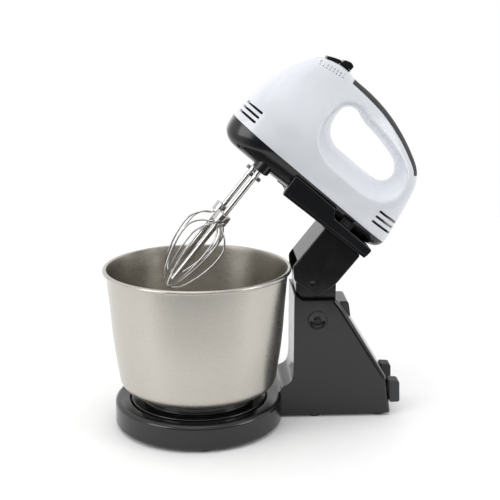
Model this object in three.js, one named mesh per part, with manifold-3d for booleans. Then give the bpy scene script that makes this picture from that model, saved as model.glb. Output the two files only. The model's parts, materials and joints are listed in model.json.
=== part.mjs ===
// Two-whisk stand mixer: a hand mixer that lifts off a tilting cradle, over a bowl on a free turntable.
// Millimetres, +Z up. The bowl stands at -X, the tower at +X, and the tower is set back from the bowl axis.
import * as THREE from "three";
import { ParametricGeometry } from "three/addons/geometries/ParametricGeometry.js";
import { mergeVertices } from "three/addons/utils/BufferGeometryUtils.js";
import Module from "manifold-3d";

const wasm = await Module();
wasm.setup();

// ---------------------------------------------------------------- driving dimensions

const GAP = 0.35; // clearance between pieces that touch
const WALL = 2.6; // moulded wall of the stand and housings
const RAISE = THREE.MathUtils.degToRad(38.5); // tilt of the head in its raised rest position

const BOWL = { rim: 89, top: 154.6, floor: 36, wall: 0.8, corner: 14, foot: 47 };
const DISC = { radius: 80.5, top: 26.5, recess: 66.5, deck: 14, under: 3.2 };
const TOWER = { front: 92, y0: -3, y1: 59, top: 118.8, lip: 124.2, edge: 5 };
const MID = (TOWER.y0 + TOWER.y1) / 2; // plane through the middle of tower, arm and mixer
const PIVOT = { x: 122.5, z: 143.5, pin: 4 }; // tilt axis of the head
const NECK = { x0: 94, x1: 132.7, halfWidth: 23.7, tenonFloor: 84 };
const ARM = { front: -30, rear: 14, top: 35, halfWidth: 27, bottom: -23.3 };
const CRADLE = { front: -85.2, rear: 16.5, bottom: 36, halfWidth: 39.5 };
const BODY = { halfWidth: 41, wall: 2.4, centreX: -66, centreZ: 95, power: 3.4 };
const SPINDLE = { x: -112, y: 23, radius: 5.2 };
const WHISK = { rod: 2.6, wire: 0.9, swell: 21.7, sleeve: 7.5, tip: -102.5, rodEnd: -94 };
const SELECTOR = { x: -107, z: 111, radius: 50.8 };
const BUTTON = { halfWidth: 18.6 };
const CAP = { x: 114.5, z: 99.8, radius: 9.4 };

const WHITE = { color: 0xeceef1, roughness: 0.22, metalness: 0 };
const BLACK = { color: 0x2b2d31, roughness: 0.3, metalness: 0 };
const RUBBER = { color: 0x35363a, roughness: 0.7, metalness: 0 };
const BRUSHED = { color: 0xb9b5ab, roughness: 0.35, metalness: 1 };
const CHROME = { color: 0xc9c8c4, roughness: 0.15, metalness: 1 };
const STEEL = { color: 0x8f9092, roughness: 0.4, metalness: 1 };
const COPPER = { color: 0xa8643a, roughness: 0.4, metalness: 1 };
const NYLON = { color: 0xd9d5c8, roughness: 0.5, metalness: 0 };
const BRONZE = { color: 0x9a7440, roughness: 0.5, metalness: 1 };

// ---------------------------------------------------------------- joining and cutting

/** A closed geometry as a solid: merged vertices, with collapsed triangles left out. */
function solidOf(geometry) {
  const bare = new THREE.BufferGeometry();
  bare.setAttribute("position", geometry.getAttribute("position").clone());
  if (geometry.index) bare.setIndex(geometry.index.clone());
  const merged = mergeVertices(bare, 1e-4);
  const corners = merged.index.array;
  const kept = [];
  for (let i = 0; i < corners.length; i += 3) {
    const [a, b, c] = [corners[i], corners[i + 1], corners[i + 2]];
    if (a !== b && b !== c && a !== c) kept.push(a, b, c);
  }
  const vertProperties = new Float32Array(merged.getAttribute("position").array);
  return new wasm.Manifold(new wasm.Mesh({ numProp: 3, vertProperties, triVerts: new Uint32Array(kept) }));
}

/** A solid as a geometry again. */
function geometryOf(solid) {
  const { vertProperties, triVerts } = solid.getMesh();
  const geometry = new THREE.BufferGeometry();
  geometry.setAttribute("position", new THREE.BufferAttribute(vertProperties, 3));
  geometry.setIndex(new THREE.BufferAttribute(triVerts, 1));
  geometry.computeVertexNormals();
  return geometry;
}

const fold = (how) => (first, ...rest) =>
  geometryOf(rest.reduce((solid, next) => solid[how](solidOf(next)), solidOf(first)));
const join = fold("add");
const cut = fold("subtract");
const common = fold("intersect");

// ---------------------------------------------------------------- shapes

/** A box between two corners. */
function box(x0, x1, y0, y1, z0, z1) {
  const geometry = new THREE.BoxGeometry(x1 - x0, y1 - y0, z1 - z0);
  return geometry.translate((x0 + x1) / 2, (y0 + y1) / 2, (z0 + z1) / 2);
}

/** An outline from [x, y, corner radius] points, its corners rounded. */
function outline(points) {
  const shape = new THREE.Shape();
  points.forEach(([x, y, radius = 0], i) => {
    const corner = new THREE.Vector2(x, y);
    const [before, after] = [points.at(i - 1), points[(i + 1) % points.length]];
    const [entry, exit] = [before, after].map((neighbour) => {
      const edge = new THREE.Vector2(neighbour[0] - x, neighbour[1] - y);
      return corner.clone().add(edge.setLength(Math.min(radius, 0.45 * edge.length())));
    });
    if (i === 0) shape.moveTo(entry.x, entry.y);
    else shape.lineTo(entry.x, entry.y);
    if (radius > 0) shape.quadraticCurveTo(x, y, exit.x, exit.y);
  });
  shape.closePath();
  return shape;
}

/** A shape drawn in plan and raised from z0 to z1, its edges bevelled. */
function raised(shape, z0, z1, bevel = 0, steps = 4) {
  const geometry = new THREE.ExtrudeGeometry(shape, {
    depth: z1 - z0 - 2 * bevel,
    bevelEnabled: bevel > 0,
    bevelSize: bevel,
    bevelThickness: bevel,
    bevelOffset: -bevel,
    bevelSegments: bevel > 2 ? 3 : 1,
    curveSegments: steps,
  });
  return geometry.translate(0, 0, z0 + bevel);
}

/** A shape drawn in side view (x, z) and spread across from y0 to y1. */
function across(shape, y0, y1, bevel = 0, steps = 4) {
  return raised(shape, -y1, -y0, bevel, steps).rotateX(Math.PI / 2);
}

/** A block with rounded upright corners and bevelled edges. */
function block(x0, x1, y0, y1, z0, z1, radius = 1, bevel = 0.4) {
  const shape = outline([[x0, y0, radius], [x1, y0, radius], [x1, y1, radius], [x0, y1, radius]]);
  return raised(shape, z0, z1, bevel, 3);
}

/** A turned piece standing on the Z axis. */
function turned(profile, steps = 32) {
  const points = profile.map(([r, z]) => new THREE.Vector2(r, z));
  points.push(points[0].clone());
  return new THREE.LatheGeometry(points, steps).rotateX(Math.PI / 2);
}

/** An upright cylinder from z0 to z1, or a tube when it has a bore. */
function post(x, y, z0, z1, radius, bore = 0, steps = 16) {
  const profile = [[bore, z0], [radius, z0], [radius, z1], [bore, z1]];
  return turned(profile, steps).translate(x, y, 0);
}

/** A cylinder along Y. */
function rodAcross(x, z, y0, y1, radius, bore = 0, steps = 20) {
  return post(0, 0, -y1, -y0, radius, bore, steps).rotateX(Math.PI / 2).translate(x, 0, z);
}

/** A cylinder along X. */
function rodAlong(y, z, x0, x1, radius, bore = 0, steps = 16) {
  return post(0, 0, x0, x1, radius, bore, steps).rotateY(Math.PI / 2).translate(0, y, z);
}

/** A pan-head screw that points along +Z, its head below z0. */
function screw(length, shank = 1.7, head = 3.2) {
  const body = turned([[0, -2], [head - 0.8, -2], [head, -1.2], [head, 0], [shank, 0], [shank, length], [0, length]], 8);
  return cut(body, box(-head, head, -0.4, 0.4, -3, -1.2), box(-0.4, 0.4, -head, head, -3, -1.2));
}

// ---------------------------------------------------------------- scene graph

const root = new THREE.Group();

/** Adds a named piece to a group. */
function piece(group, name, geometry, finish) {
  const mesh = new THREE.Mesh(geometry, new THREE.MeshStandardMaterial(finish));
  mesh.name = name;
  group.add(mesh);
  return mesh;
}

// ---------------------------------------------------------------- stand

/** Side outline of the tower, grown by a margin on the faces that a wide bevel must not reach. */
function towerOutline(front = 0, up = 0, down = 0) {
  return outline([
    [TOWER.front - front, DISC.under - down],
    [188.4, DISC.under - down, front ? 0 : 2],
    [184, 38, 6],
    [137.8, 113.8, 4],
    [133.5, TOWER.top + up, front ? 0 : 2],
    [99.5, TOWER.top + up, front ? 0 : 4],
    [94, TOWER.lip + up, front ? 0 : 1.5],
    [TOWER.front - front, TOWER.lip + up, front ? 0 : 0.8],
  ]);
}

/** The tower with a wide bevel down its sloping back and narrow ones elsewhere. */
function towerSolid() {
  const sloped = across(towerOutline(8, 8, 8), TOWER.y0, TOWER.y1, TOWER.edge);
  return common(sloped, across(towerOutline(), TOWER.y0, TOWER.y1, 0.6));
}

/** The concave foot that rises from the disc to the front of the tower. */
function footSolid() {
  const shape = new THREE.Shape();
  shape.moveTo(30, DISC.under);
  shape.lineTo(30, 24.5);
  shape.lineTo(70, 24.5);
  shape.bezierCurveTo(80, 24.5, 78, 33, 86, 34.5);
  shape.bezierCurveTo(91, 35.5, 92, 40, 92.2, 52);
  shape.lineTo(96, 52);
  shape.lineTo(96, DISC.under);
  return across(shape, TOWER.y0, TOWER.y1, 1.2, 6);
}

/** Base disc, foot and tower in one hollow moulding, open underneath. */
function standShell() {
  const { radius, top, recess, deck, under } = DISC;
  const disc = turned([
    [0, under], [radius - 1, under], [radius, under + 1.5], [radius - 0.9, top - 6], [radius - 2.2, top - 2.2],
    [radius - 4.5, top - 0.4], [radius - 8, top], [recess + 1.6, top - 1.2], [recess, top - 3], [0, top - 3],
  ], 38);
  const well = turned([[0, deck], [recess, deck], [recess, 60], [0, 60]], 38);
  const discHollow = turned([
    [0, 0], [radius - WALL, 0], [radius - WALL - 0.8, top - 6], [radius - 6, top - 3.2], [recess + WALL, top - 4.2],
    [recess + WALL, deck - WALL], [0, deck - WALL],
  ], 26);
  const towerHollow = across(outline([
    [TOWER.front + WALL, 0], [185, 0], [181, 37, 5], [135.6, 110.6, 4], [131.5, TOWER.top - 3],
    [TOWER.front + WALL, TOWER.top - 3],
  ]), TOWER.y0 + WALL, TOWER.y1 - WALL, 1);
  const footHollow = box(50, TOWER.front + 6, TOWER.y0 + WALL, TOWER.y1 - WALL, 0, deck - WALL);
  const hub = post(0, 0, 5.8, deck + 0.5, 9, 0);
  const bosses = [[TOWER.y0 + 1, MID - NECK.halfWidth + 1.3], [MID + NECK.halfWidth - 1.3, TOWER.y1 - 1]];
  const shell = cut(join(disc, footSolid(), towerSolid()), well, discHollow, towerHollow, footHollow);
  return cut(
    join(shell, hub, ...bosses.map(([y0, y1]) => rodAcross(CAP.x, CAP.z, y0, y1, CAP.radius + 2.4))),
    post(0, 0, 0, 40, 4 + GAP),
    rodAcross(CAP.x, CAP.z, TOWER.y0 - 2, TOWER.y0 + 2.6, CAP.radius),
    rodAcross(CAP.x, CAP.z, TOWER.y1 - 2.6, TOWER.y1 + 2, CAP.radius),
    rodAcross(CAP.x, CAP.z, TOWER.y0 - 2, TOWER.y1 + 2, 2 + GAP, 0, 16),
    box(96.6, 130.6, MID - 22.4, MID + 22.4, 80, TOWER.top + 8),
    box(131, 160, MID - BUTTON.halfWidth - 2 * GAP, MID + BUTTON.halfWidth + 2 * GAP, 98.4, 115.1),
    box(150, 200, TOWER.y0 + 4.4, TOWER.y0 + 10.6, 18, 32),
    box(150, 200, TOWER.y1 - 10.6, TOWER.y1 - 4.4, 18, 32),
  );
}

/** Flat bottom cover of disc and tower, with holes for the feet. */
function baseCover(feet) {
  const [z0, z1] = [DISC.under + 0.4, DISC.under + 2.2];
  const radius = DISC.radius - WALL - 2 * GAP;
  const disc = turned([[0, z0], [radius, z0], [radius, z1], [0, z1]], 26);
  const tail = block(40, 182.6, TOWER.y0 + WALL + 2 * GAP, TOWER.y1 - WALL - 2 * GAP, z0, z1, 2, 0);
  return cut(join(disc, tail), ...feet.map(([x, y]) => post(x, y, 0, 8, 4.5, 0, 8)));
}

const FOOT_RING = 70;
const FEET = [
  ...[274, 212, 338, 148, 84].map((degrees) => {
    const angle = THREE.MathUtils.degToRad(degrees);
    return [FOOT_RING * Math.cos(angle), FOOT_RING * Math.sin(angle)];
  }),
  [114, TOWER.y0 + 8], [114, TOWER.y1 - 8], [177, TOWER.y0 + 9], [177, TOWER.y1 - 9],
];

function buildStand() {
  const stand = new THREE.Group();
  root.add(stand);
  piece(stand, "stand_shell", standShell(), BLACK);
  piece(stand, "base_cover", baseCover(FEET), BLACK);
  FEET.forEach(([x, y], i) => {
    const profile = [[0, 0], [5.6, 0], [6.4, 1], [6.4, DISC.under], [4, DISC.under], [4, 6.4], [0, 6.4]];
    piece(stand, `foot_${i + 1}`, turned(profile, 8).translate(x, y, 0), RUBBER);
  });
  piece(stand, "turntable_spindle", post(0, 0, 6, 27, 4), STEEL);
  buildNeck(stand);
  for (const [side, y, turn] of [["near", TOWER.y0, 1], ["far", TOWER.y1, -1]]) {
    const dish = turned([
      [3.3, 0.6], [5.4, 0.6], [CAP.radius - 1, -0.6], [CAP.radius - GAP, -0.6], [CAP.radius - GAP, 1.6], [3.3, 1.6],
    ], 16).rotateX(-Math.PI / 2 * turn);
    piece(stand, `side_cap_${side}`, dish.translate(CAP.x, y + 0.9 * turn, CAP.z), BLACK);
    const bolt = screw(14, 1.9, 2.9).rotateX(-Math.PI / 2 * turn);
    piece(stand, `side_screw_${side}`, bolt.translate(CAP.x, y + 2.4 * turn, CAP.z), STEEL);
  }
  for (const [side, y] of [["near", TOWER.y0 + 7.5], ["far", TOWER.y1 - 7.5]]) {
    piece(stand, `rear_rest_${side}`, rearRest().translate(0, y, 0), RUBBER);
  }
  buildTiltButton(stand);
}

/** Block on the back of the tower that keeps the stand off a wall, with a stub into the shell. */
function rearRest() {
  const shape = outline([[187.2, 13.8, 1], [197.2, 13.8, 2], [196.4, 36, 2.5], [185.4, 36.6, 1.5]]);
  return join(across(shape, -7, 7, 0.8), box(180, 190, -2.6, 2.6, 19, 31));
}

/** Pedestal between the cheeks of the arm: it carries the tilt pin and plugs into the tower. */
function buildNeck(stand) {
  const { x0, x1, halfWidth, tenonFloor } = NECK;
  const head = outline([
    [x0, TOWER.top + GAP + 6.4], [x0 + 7.4, TOWER.top + GAP, 3], [x1, TOWER.top + GAP], [x1, PIVOT.z + 8.4, 8],
    [PIVOT.x - 8, PIVOT.z + 9.6, 6], [x0 + 6, PIVOT.z - 5, 5], [x0, PIVOT.z - 7.6, 1.5],
  ]);
  const neck = cut(
    join(
      across(head, MID - halfWidth, MID + halfWidth, 0.8),
      box(97, 130.2, MID - 22, MID + 22, tenonFloor, TOWER.top + 4),
    ),
    rodAcross(PIVOT.x, PIVOT.z, MID - 30, MID + 30, PIVOT.pin + GAP),
    rodAcross(CAP.x, CAP.z, MID - 30, MID + 30, 2 + GAP, 0, 16),
    box(119, 133.4, MID - 15, MID + 15, 97, 107.4),
  );
  piece(stand, "neck_block", neck, BLACK);
  piece(stand, "tilt_pin", rodAcross(PIVOT.x, PIVOT.z, MID - 25.6, MID + 25.6, PIVOT.pin), STEEL);
}

/** Push button on the back of the tower that frees the tilting head, with its return spring. */
function buildTiltButton(stand) {
  const shape = outline([[135, 99, 2], [148.4, 99, 2], [146, 114.4, 3], [135, 114.4, 2]]);
  const button = join(across(shape, -BUTTON.halfWidth, BUTTON.halfWidth, 0.7), box(125, 136, -4, 4, 102, 106));
  piece(stand, "tilt_release_button", button.translate(0, MID, 0), BLACK);
  const spring = new THREE.ExtrudeGeometry(new THREE.Shape().absarc(0, 0, 0.5, 0, 2 * Math.PI), {
    steps: 32, bevelEnabled: false, curveSegments: 2, extrudePath: new Helix(2.6, 4, 3.6),
  });
  piece(stand, "tilt_release_spring", spring.rotateY(-Math.PI / 2).translate(123.1, MID, 104), STEEL);
}

/** A coil of wire along +Z. */
class Helix extends THREE.Curve {
  constructor(radius, turns, length) {
    super();
    Object.assign(this, { radius, turns, length });
  }

  getPoint(t, target = new THREE.Vector3()) {
    const angle = 2 * Math.PI * this.turns * t;
    return target.set(this.radius * Math.cos(angle), this.radius * Math.sin(angle), this.length * t);
  }
}

// ---------------------------------------------------------------- turntable and bowl

function buildTurntable() {
  const table = new THREE.Group();
  root.add(table);
  const top = BOWL.floor - GAP;
  const profile = [
    [4 + GAP, 14.9], [10, 14.9], [12, 21.5], [61, 21.5], [61, 17.6], [64.8, 17.6], [64.8, 25.2], [63.6, 26.4],
    [54.2, 26.4], [53, top], [49, top], [48.2, 27.6], [14, 27.6], [4 + GAP, 30.6],
  ];
  piece(table, "turntable", turned(profile, 32), BLACK);
  const bowl = new THREE.Group();
  table.add(bowl);
  piece(bowl, "bowl", bowlGeometry(), BRUSHED);
  const foot = [[BOWL.foot - 5, 31.4], [BOWL.foot, 31.4], [BOWL.foot, top], [BOWL.foot - 5, top]];
  piece(bowl, "bowl_foot_ring", turned(foot, 24), BLACK);
}

/** Spun steel bowl: flat floor, rounded corner, flaring wall and a rolled rim. */
function bowlGeometry() {
  const { rim, top, floor, wall, corner } = BOWL;
  const wallCurve = new THREE.SplineCurve(
    [[76, 51], [80.5, 86], [83.3, 122], [85.6, top - 4.6]].map(([r, z]) => new THREE.Vector2(r, z)),
  ).getPoints(3);
  const bend = arcPoints(61.5, floor + corner, corner, -90, -4, 4);
  const outer = [[0, floor], ...bend, ...wallCurve.map((p) => [p.x, p.y])];
  const bead = arcPoints(rim - 2, top - 2, 2, -128, 150, 5);
  const inner = outer.slice(1).reverse().map(([r, z]) => [r - wall, z > floor + 8 ? z : z + wall * 0.7]);
  inner[inner.length - 1] = [61.5, floor + wall];
  return turned([...outer, ...bead, ...inner, [0, floor + wall]], 40);
}

/** Points round an arc, in degrees. */
function arcPoints(x, y, radius, from, to, steps) {
  return Array.from({ length: steps + 1 }, (_, i) => {
    const angle = THREE.MathUtils.degToRad(from + ((to - from) * i) / steps);
    return [x + radius * Math.cos(angle), y + radius * Math.sin(angle)];
  });
}

// ---------------------------------------------------------------- arm and cradle
// The head's own frame has its origin on the tilt axis, with Z along the whisks when the head is lowered.

const head = new THREE.Group();
head.position.set(PIVOT.x, MID, PIVOT.z);
head.rotation.y = RAISE;
root.add(head);

/** Hollow arm: two cheeks that straddle the neck, joined by a front wall, a back wall and a deck. */
function armShell() {
  const { front, rear, top, halfWidth, bottom } = ARM;
  const side = outline([
    [front, top, 3], [front, -13.1, 3], [-20.3, bottom, 3], [9, bottom, 6], [13.6, -0.5, 3], [rear, top, 3],
  ]);
  const inside = halfWidth - 2.9;
  return cut(
    across(side, -halfWidth, halfWidth, 1.2),
    box(front + WALL, rear - WALL, -inside, inside, bottom - 8, top - 3),
    box(front - 5, front + 8, -inside, inside, bottom - 8, -6.3),
    box(rear - 8, rear + 5, -inside, inside, bottom - 8, 6),
    rodAcross(0, 0, -25.9, 25.9, PIVOT.pin + GAP),
    rodAcross(-4.7, -14.6, -30, 0.5 - halfWidth, 2.6, 0, 16),
    post(-20, 0, 20, 40, 2.1, 0, 16),
    post(4, 0, 20, 40, 2.1, 0, 16),
  );
}

/** Tray that holds the mixer: tall side walls in front, low ones behind, and open ends. */
function cradleShell() {
  const { front, rear, bottom, halfWidth } = CRADLE;
  const side = outline([
    [front + 1, bottom + 1, 3], [front, 57.8, 3], [-35.6, 55.9, 4], [-32.8, 48.3, 4], [rear - 0.4, 46.6, 3],
    [rear - 1.4, bottom, 4],
  ]);
  return cut(
    across(side, -halfWidth, halfWidth, 1),
    pillow(bodyOutline(-0.7), BODY.halfWidth + 0.7),
    box(SPINDLE.x - 30, front + 8, -33, 33, 30, 60),
    box(-25.3, -12.7, -CRADLE.halfWidth + 0.8, -33, 40.4, 60),
    post(-20, 0, 30, bottom + 3, 2.1, 0, 16),
    post(4, 0, 30, bottom + 3, 2.1, 0, 16),
  );
}

function buildArm() {
  piece(head, "arm_shell", armShell(), BLACK);
  piece(head, "cradle", cradleShell(), BLACK);
  [-20, 4].forEach((x, i) => {
    const bolt = screw(CRADLE.bottom + 2.4 - ARM.top + 3 + GAP).translate(x, 0, ARM.top - 3 - GAP);
    piece(head, `cradle_screw_${i + 1}`, bolt, STEEL);
  });
  const tab = join(
    block(-25, -13, -CRADLE.halfWidth + 1, -37, 41, 54.6, 0.4, 0.2),
    box(-22, -16, -CRADLE.halfWidth + 1.2, -35.6, 41.2, 43.4),
  );
  piece(head, "mixer_release_tab", tab, BLACK);
}

// ---------------------------------------------------------------- mixer body

const HANDLE_CROWN = [[-72.9, 158.6], [-50, 155.4], [-27.9, 149], [-7.9, 140.4], [8, 130.6]];

/** Side outline of the whole mixer body, moved inwards by a distance. */
function bodyOutline(inset = 0) {
  const crown = arcPoints(SELECTOR.x, SELECTOR.z, SELECTOR.radius - 0.5, 112, 74, 4);
  const points = [
    [-160.4, 58], [-160.6, 74], [-159, 92], [-154.8, 112], [-147.6, 131], [-137.5, 147.6], ...crown,
    ...HANDLE_CROWN, [16, 119], [20.5, 100], [24.6, 74],
    [27, 58], [22.6, 49.4], [8, 45.2], [-25, 42.4], [-80, 41.2], [-134, 41], [-150, 42.6], [-157.6, 48],
  ];
  const closed = new THREE.CatmullRomCurve3(points.map(([x, z]) => new THREE.Vector3(x, 0, z)), true, "centripetal");
  return (t, target) => {
    closed.getPointAt(t, target);
    const along = closed.getTangentAt(t);
    return target.addScaledVector(new THREE.Vector3(along.z, 0, -along.x), inset);
  };
}

/** How much narrower the body is at a height: full below, slim at the handle. */
function slimming(x, z) {
  const rise = THREE.MathUtils.smoothstep(z, 84, 158);
  const nose = THREE.MathUtils.smoothstep(x, -172, -120);
  return (1 - 0.52 * rise) * (0.86 + 0.14 * nose);
}

/** A body with rounded flanks: the side outline drawn in towards its centre as it goes outwards. */
function pillow(side, halfWidth, around = 44, lateral = 10) {
  const { centreX, centreZ, power } = BODY;
  const onOutline = new THREE.Vector3();
  return new ParametricGeometry((u, v, target) => {
    side(u % 1, onOutline);
    const angle = Math.PI * (v - 0.5);
    const reach = Math.cos(angle) ** (2 / power);
    const x = centreX + (onOutline.x - centreX) * reach;
    const z = centreZ + (onOutline.z - centreZ) * reach;
    const out = Math.sign(angle) * Math.abs(Math.sin(angle)) ** (2 / power);
    target.set(x, halfWidth * out * slimming(x, z), z);
  }, around, lateral);
}

const HOLE = [
  [-83.5, 134], [-85.4, 122], [-81, 109], [-69, 100.6], [-50, 99.2], [-25, 98.6], [-9.6, 101.5], [-4, 111],
  [-11, 121.8], [-33, 129.6], [-60, 134.2], [-74, 138.6],
];

/** The finger hole of the handle: narrowest in the middle and flaring to both flanks. */
function handleHole(grow = 0, flare = 13, around = 26, lateral = 10) {
  const curve = new THREE.CatmullRomCurve3(HOLE.map(([x, z]) => new THREE.Vector3(x, 0, z)), true, "centripetal");
  const centre = new THREE.Vector3(-45, 0, 116);
  const point = new THREE.Vector3();
  const reach = 46;
  return new ParametricGeometry((u, v, target) => {
    curve.getPointAt(u % 1, point);
    const along = curve.getTangentAt(u % 1);
    const y = reach * THREE.MathUtils.clamp((v - 0.5) * 2.5, -1, 1);
    const widen = grow + flare * (Math.abs(y) / 36) ** 2;
    point.addScaledVector(new THREE.Vector3(along.z, 0, -along.x), widen);
    if (v === 0 || v === 1) point.copy(centre);
    target.set(point.x, -y, point.z);
  }, around, lateral);
}

/** Everything above the parting line, lifted by a gap. */
function aboveParting(gap) {
  return box(-200, 60, -60, 60, 0, 160).rotateY(0.034).translate(-66, 0, 60.5 + gap).translate(66, 0, 0);
}

/** The band along the crown of the handle that the soft grip fills, down to a depth below the crown. */
function gripBand(depth, end) {
  const crown = new THREE.SplineCurve([[-100, 160.2], ...HANDLE_CROWN, [16, 119]].map(([x, z]) => new THREE.Vector2(x, z)));
  const [from, to] = [0.055 - end / 130, 0.925 + end / 130];
  const floor = Array.from({ length: 10 }, (_, i) => {
    const t = from + ((to - from) * i) / 9;
    const along = crown.getTangentAt(t);
    return crown.getPointAt(t).addScaledVector(new THREE.Vector2(along.y, -along.x), depth);
  });
  const lift = (t, away) => {
    const along = crown.getTangentAt(t);
    return crown.getPointAt(t).addScaledVector(new THREE.Vector2(-along.y, along.x), away);
  };
  return across(new THREE.Shape([...floor, lift(to, 14), lift(0.5, 30), lift(from, 14)]), -30, 30);
}

function upperHousing() {
  const outer = common(pillow(bodyOutline(), BODY.halfWidth), aboveParting(GAP / 2));
  const inner = pillow(bodyOutline(BODY.wall), BODY.halfWidth - BODY.wall, 26, 8);
  const hollow = cut(inner, handleHole(BODY.wall, 13, 16, 5), gripBand(7.8, 3));
  const vents = [];
  for (const side of [-1, 1]) {
    for (const z of [71.6, 76.8, 82]) {
      const [y0, y1] = [Math.min(side * 11, side * 45), Math.max(side * 11, side * 45)];
      vents.push(box(-170, -143.5, y0, y1, z - 1, z + 1));
    }
    for (const z of [68.2, 73.8, 79.4]) {
      const [y0, y1] = [Math.min(side * 13, side * 45), Math.max(side * 13, side * 45)];
      vents.push(box(-2.4, 34, y0, y1, z - 1, z + 1));
    }
  }
  const slot = box(-133.4, -100.6, -2.4, 2.4, 145, 170);
  const inlet = rodAlong(0, 82, 10, 40, 4.4);
  return cut(outer, hollow, handleHole(), gripBand(5 + GAP, 0.4), slot, inlet, ...vents);
}

function lowerHousing() {
  const outer = cut(pillow(bodyOutline(), BODY.halfWidth), aboveParting(-GAP / 2));
  const inner = pillow(bodyOutline(BODY.wall), BODY.halfWidth - BODY.wall, 26, 8);
  const bosses = [-1, 1].map((side) => post(SPINDLE.x, side * SPINDLE.y, 38.4, 50, 8.6, 0, 24));
  const pockets = [-1, 1].map((side) => {
    const shape = outline([[-34.4, 49.2, 1.6], [-5.6, 49.2, 1.6], [-5.2, 55.2, 1.6], [-33.6, 55.9, 1.6]]);
    return across(shape, side < 0 ? -50 : 33.4, side < 0 ? -33.4 : 50);
  });
  const backing = [-1, 1].map((side) => box(-36, 11, side < 0 ? -33 : 31, side < 0 ? -31 : 33, 46.4, 58));
  const notches = [-1, 1].map((side) => post(-141, side * 33, 40, 49, 4.2, 0, 16));
  const hollow = cut(inner, ...backing);
  const shell = cut(outer, hollow);
  return cut(
    join(shell, ...bosses),
    ...pockets,
    ...notches,
    ...[-1, 1].map((side) => post(SPINDLE.x, side * SPINDLE.y, 30, 64, SPINDLE.radius + GAP)),
  );
}

const mixer = new THREE.Group();
head.add(mixer);

function buildMixerBody() {
  piece(mixer, "upper_housing", upperHousing(), WHITE);
  piece(mixer, "lower_housing", lowerHousing(), BLACK);
  const grip = common(pillow(bodyOutline(), BODY.halfWidth), gripBand(5, 0));
  piece(mixer, "grip_strip", grip, RUBBER);
  piece(mixer, "cord_inlet_bush", rodAlong(0, 82, 14, 22, 4, 2.2), BLACK);
}

/** A ring sector about the selector axis, between two angles from upright (forwards positive). */
function sector(r0, r1, a0, a1, halfWidth, bevel = 0.5) {
  const ring = new THREE.Shape();
  const up = Math.PI / 2;
  const [from, to] = [up + THREE.MathUtils.degToRad(a0), up + THREE.MathUtils.degToRad(a1)];
  ring.absarc(0, 0, r1, from, to);
  ring.absarc(0, 0, r0, to, from, true);
  ring.closePath();
  return across(ring, -halfWidth, halfWidth, bevel, 6).translate(SELECTOR.x, 0, SELECTOR.z);
}

/** Speed selector: a curved shutter with a thumb knob that also presses down to free the whisks. */
function buildSelector() {
  const { radius } = SELECTOR;
  const selector = new THREE.Group();
  mixer.add(selector);
  const shutter = cut(
    join(
      sector(radius, radius + 2.6, 8.2, 22.6, 7.5, 0.8),
      sector(radius, radius + 0.8, -6.6, 12, 6, 0),
      sector(radius - 7.4, radius + 0.4, -6.4, 6.2, 1.9, 0),
      sector(radius - 8.6, radius - 7, -7, 8, 5, 0),
    ),
    sector(radius - 6, radius + 2, -4, 3.8, 3, 0),
  );
  piece(selector, "speed_shutter", shutter, BLACK);
  const knobSide = outline([
    [-112.8, 164, 1.2], [-101.8, 163.9, 1.2], [-101.2, 167.2, 2], [-105.6, 169, 2], [-111.8, 167, 2],
  ]);
  const knob = join(across(knobSide, -7.5, 7.5, 0.5), sector(radius - 1.8, radius + 4, -3.6, 3.4, 1.9, 0));
  piece(selector, "speed_knob", knob, BLACK);
}

// ---------------------------------------------------------------- drive inside the mixer

const MOTOR = { z: 70, front: -66, rear: -22, radius: 17, bore: 10.6 };
const GEAR = { radius: 13.4, thick: 8 };

/** One worm gear with the hollow spindle that a whisk shaft plugs into. */
function spindleGear() {
  const teeth = 12;
  const rim = new THREE.Shape();
  for (let i = 0; i < 4 * teeth; i += 1) {
    const angle = (2 * Math.PI * i) / (4 * teeth);
    const r = i % 4 < 2 ? GEAR.radius : GEAR.radius - 1.6;
    rim[i ? "lineTo" : "moveTo"](r * Math.cos(angle), r * Math.sin(angle));
  }
  rim.closePath();
  const bore = WHISK.rod + GAP;
  const wheel = raised(rim, MOTOR.z - GEAR.thick / 2, MOTOR.z + GEAR.thick / 2);
  return cut(join(wheel, post(0, 0, 38.6, 78, SPINDLE.radius - GAP)), post(0, 0, 30, 68, bore));
}

function buildDrive() {
  const { z, front, rear, radius, bore } = MOTOR;
  piece(mixer, "motor_stator", rodAlong(0, z, front, rear, radius, bore, 20), STEEL);
  piece(mixer, "motor_winding", rodAlong(0, z, rear + GAP, rear + 7, radius - 2, bore, 20), COPPER);
  const rotor = new THREE.Group();
  rotor.position.set(0, 0, z);
  mixer.add(rotor);
  const shaft = join(
    rodAlong(0, 0, -128, -4, 2.5, 0, 16),
    rodAlong(0, 0, front + 3, rear - 3, bore - 0.8),
    rodAlong(0, 0, -14, -10, 8),
    rodAlong(0, 0, -122, -101, SPINDLE.y - GEAR.radius - 2 * GAP, 0, 16),
  );
  piece(rotor, "motor_rotor", shaft, STEEL);
  const blades = Array.from({ length: 6 }, (_, i) =>
    box(-85, -78, -1, 1, 4, 16).rotateX((i * Math.PI) / 3));
  piece(rotor, "motor_fan", join(rodAlong(0, 0, -86, -77, 6, 2.5 + GAP, 20), ...blades), NYLON);
  piece(mixer, "bearing_front", rodAlong(0, z, -95, -89, 6, 2.5 + GAP, 20), BRONZE);
  piece(mixer, "bearing_rear", rodAlong(0, z, -9, -5, 6, 2.5 + GAP, 20), BRONZE);
  for (const [side, sign] of [["near", -1], ["far", 1]]) {
    const bush = post(SPINDLE.x, sign * SPINDLE.y, 65.4 - 8, 65.4, 7.4, SPINDLE.radius);
    piece(mixer, `spindle_bush_${side}`, bush, BRONZE);
    buildWhisk(side, sign);
  }
  piece(mixer, "speed_switch", block(-128, -96, -11, 11, 117, 132, 1.5, 0.6), NYLON);
}

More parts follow.
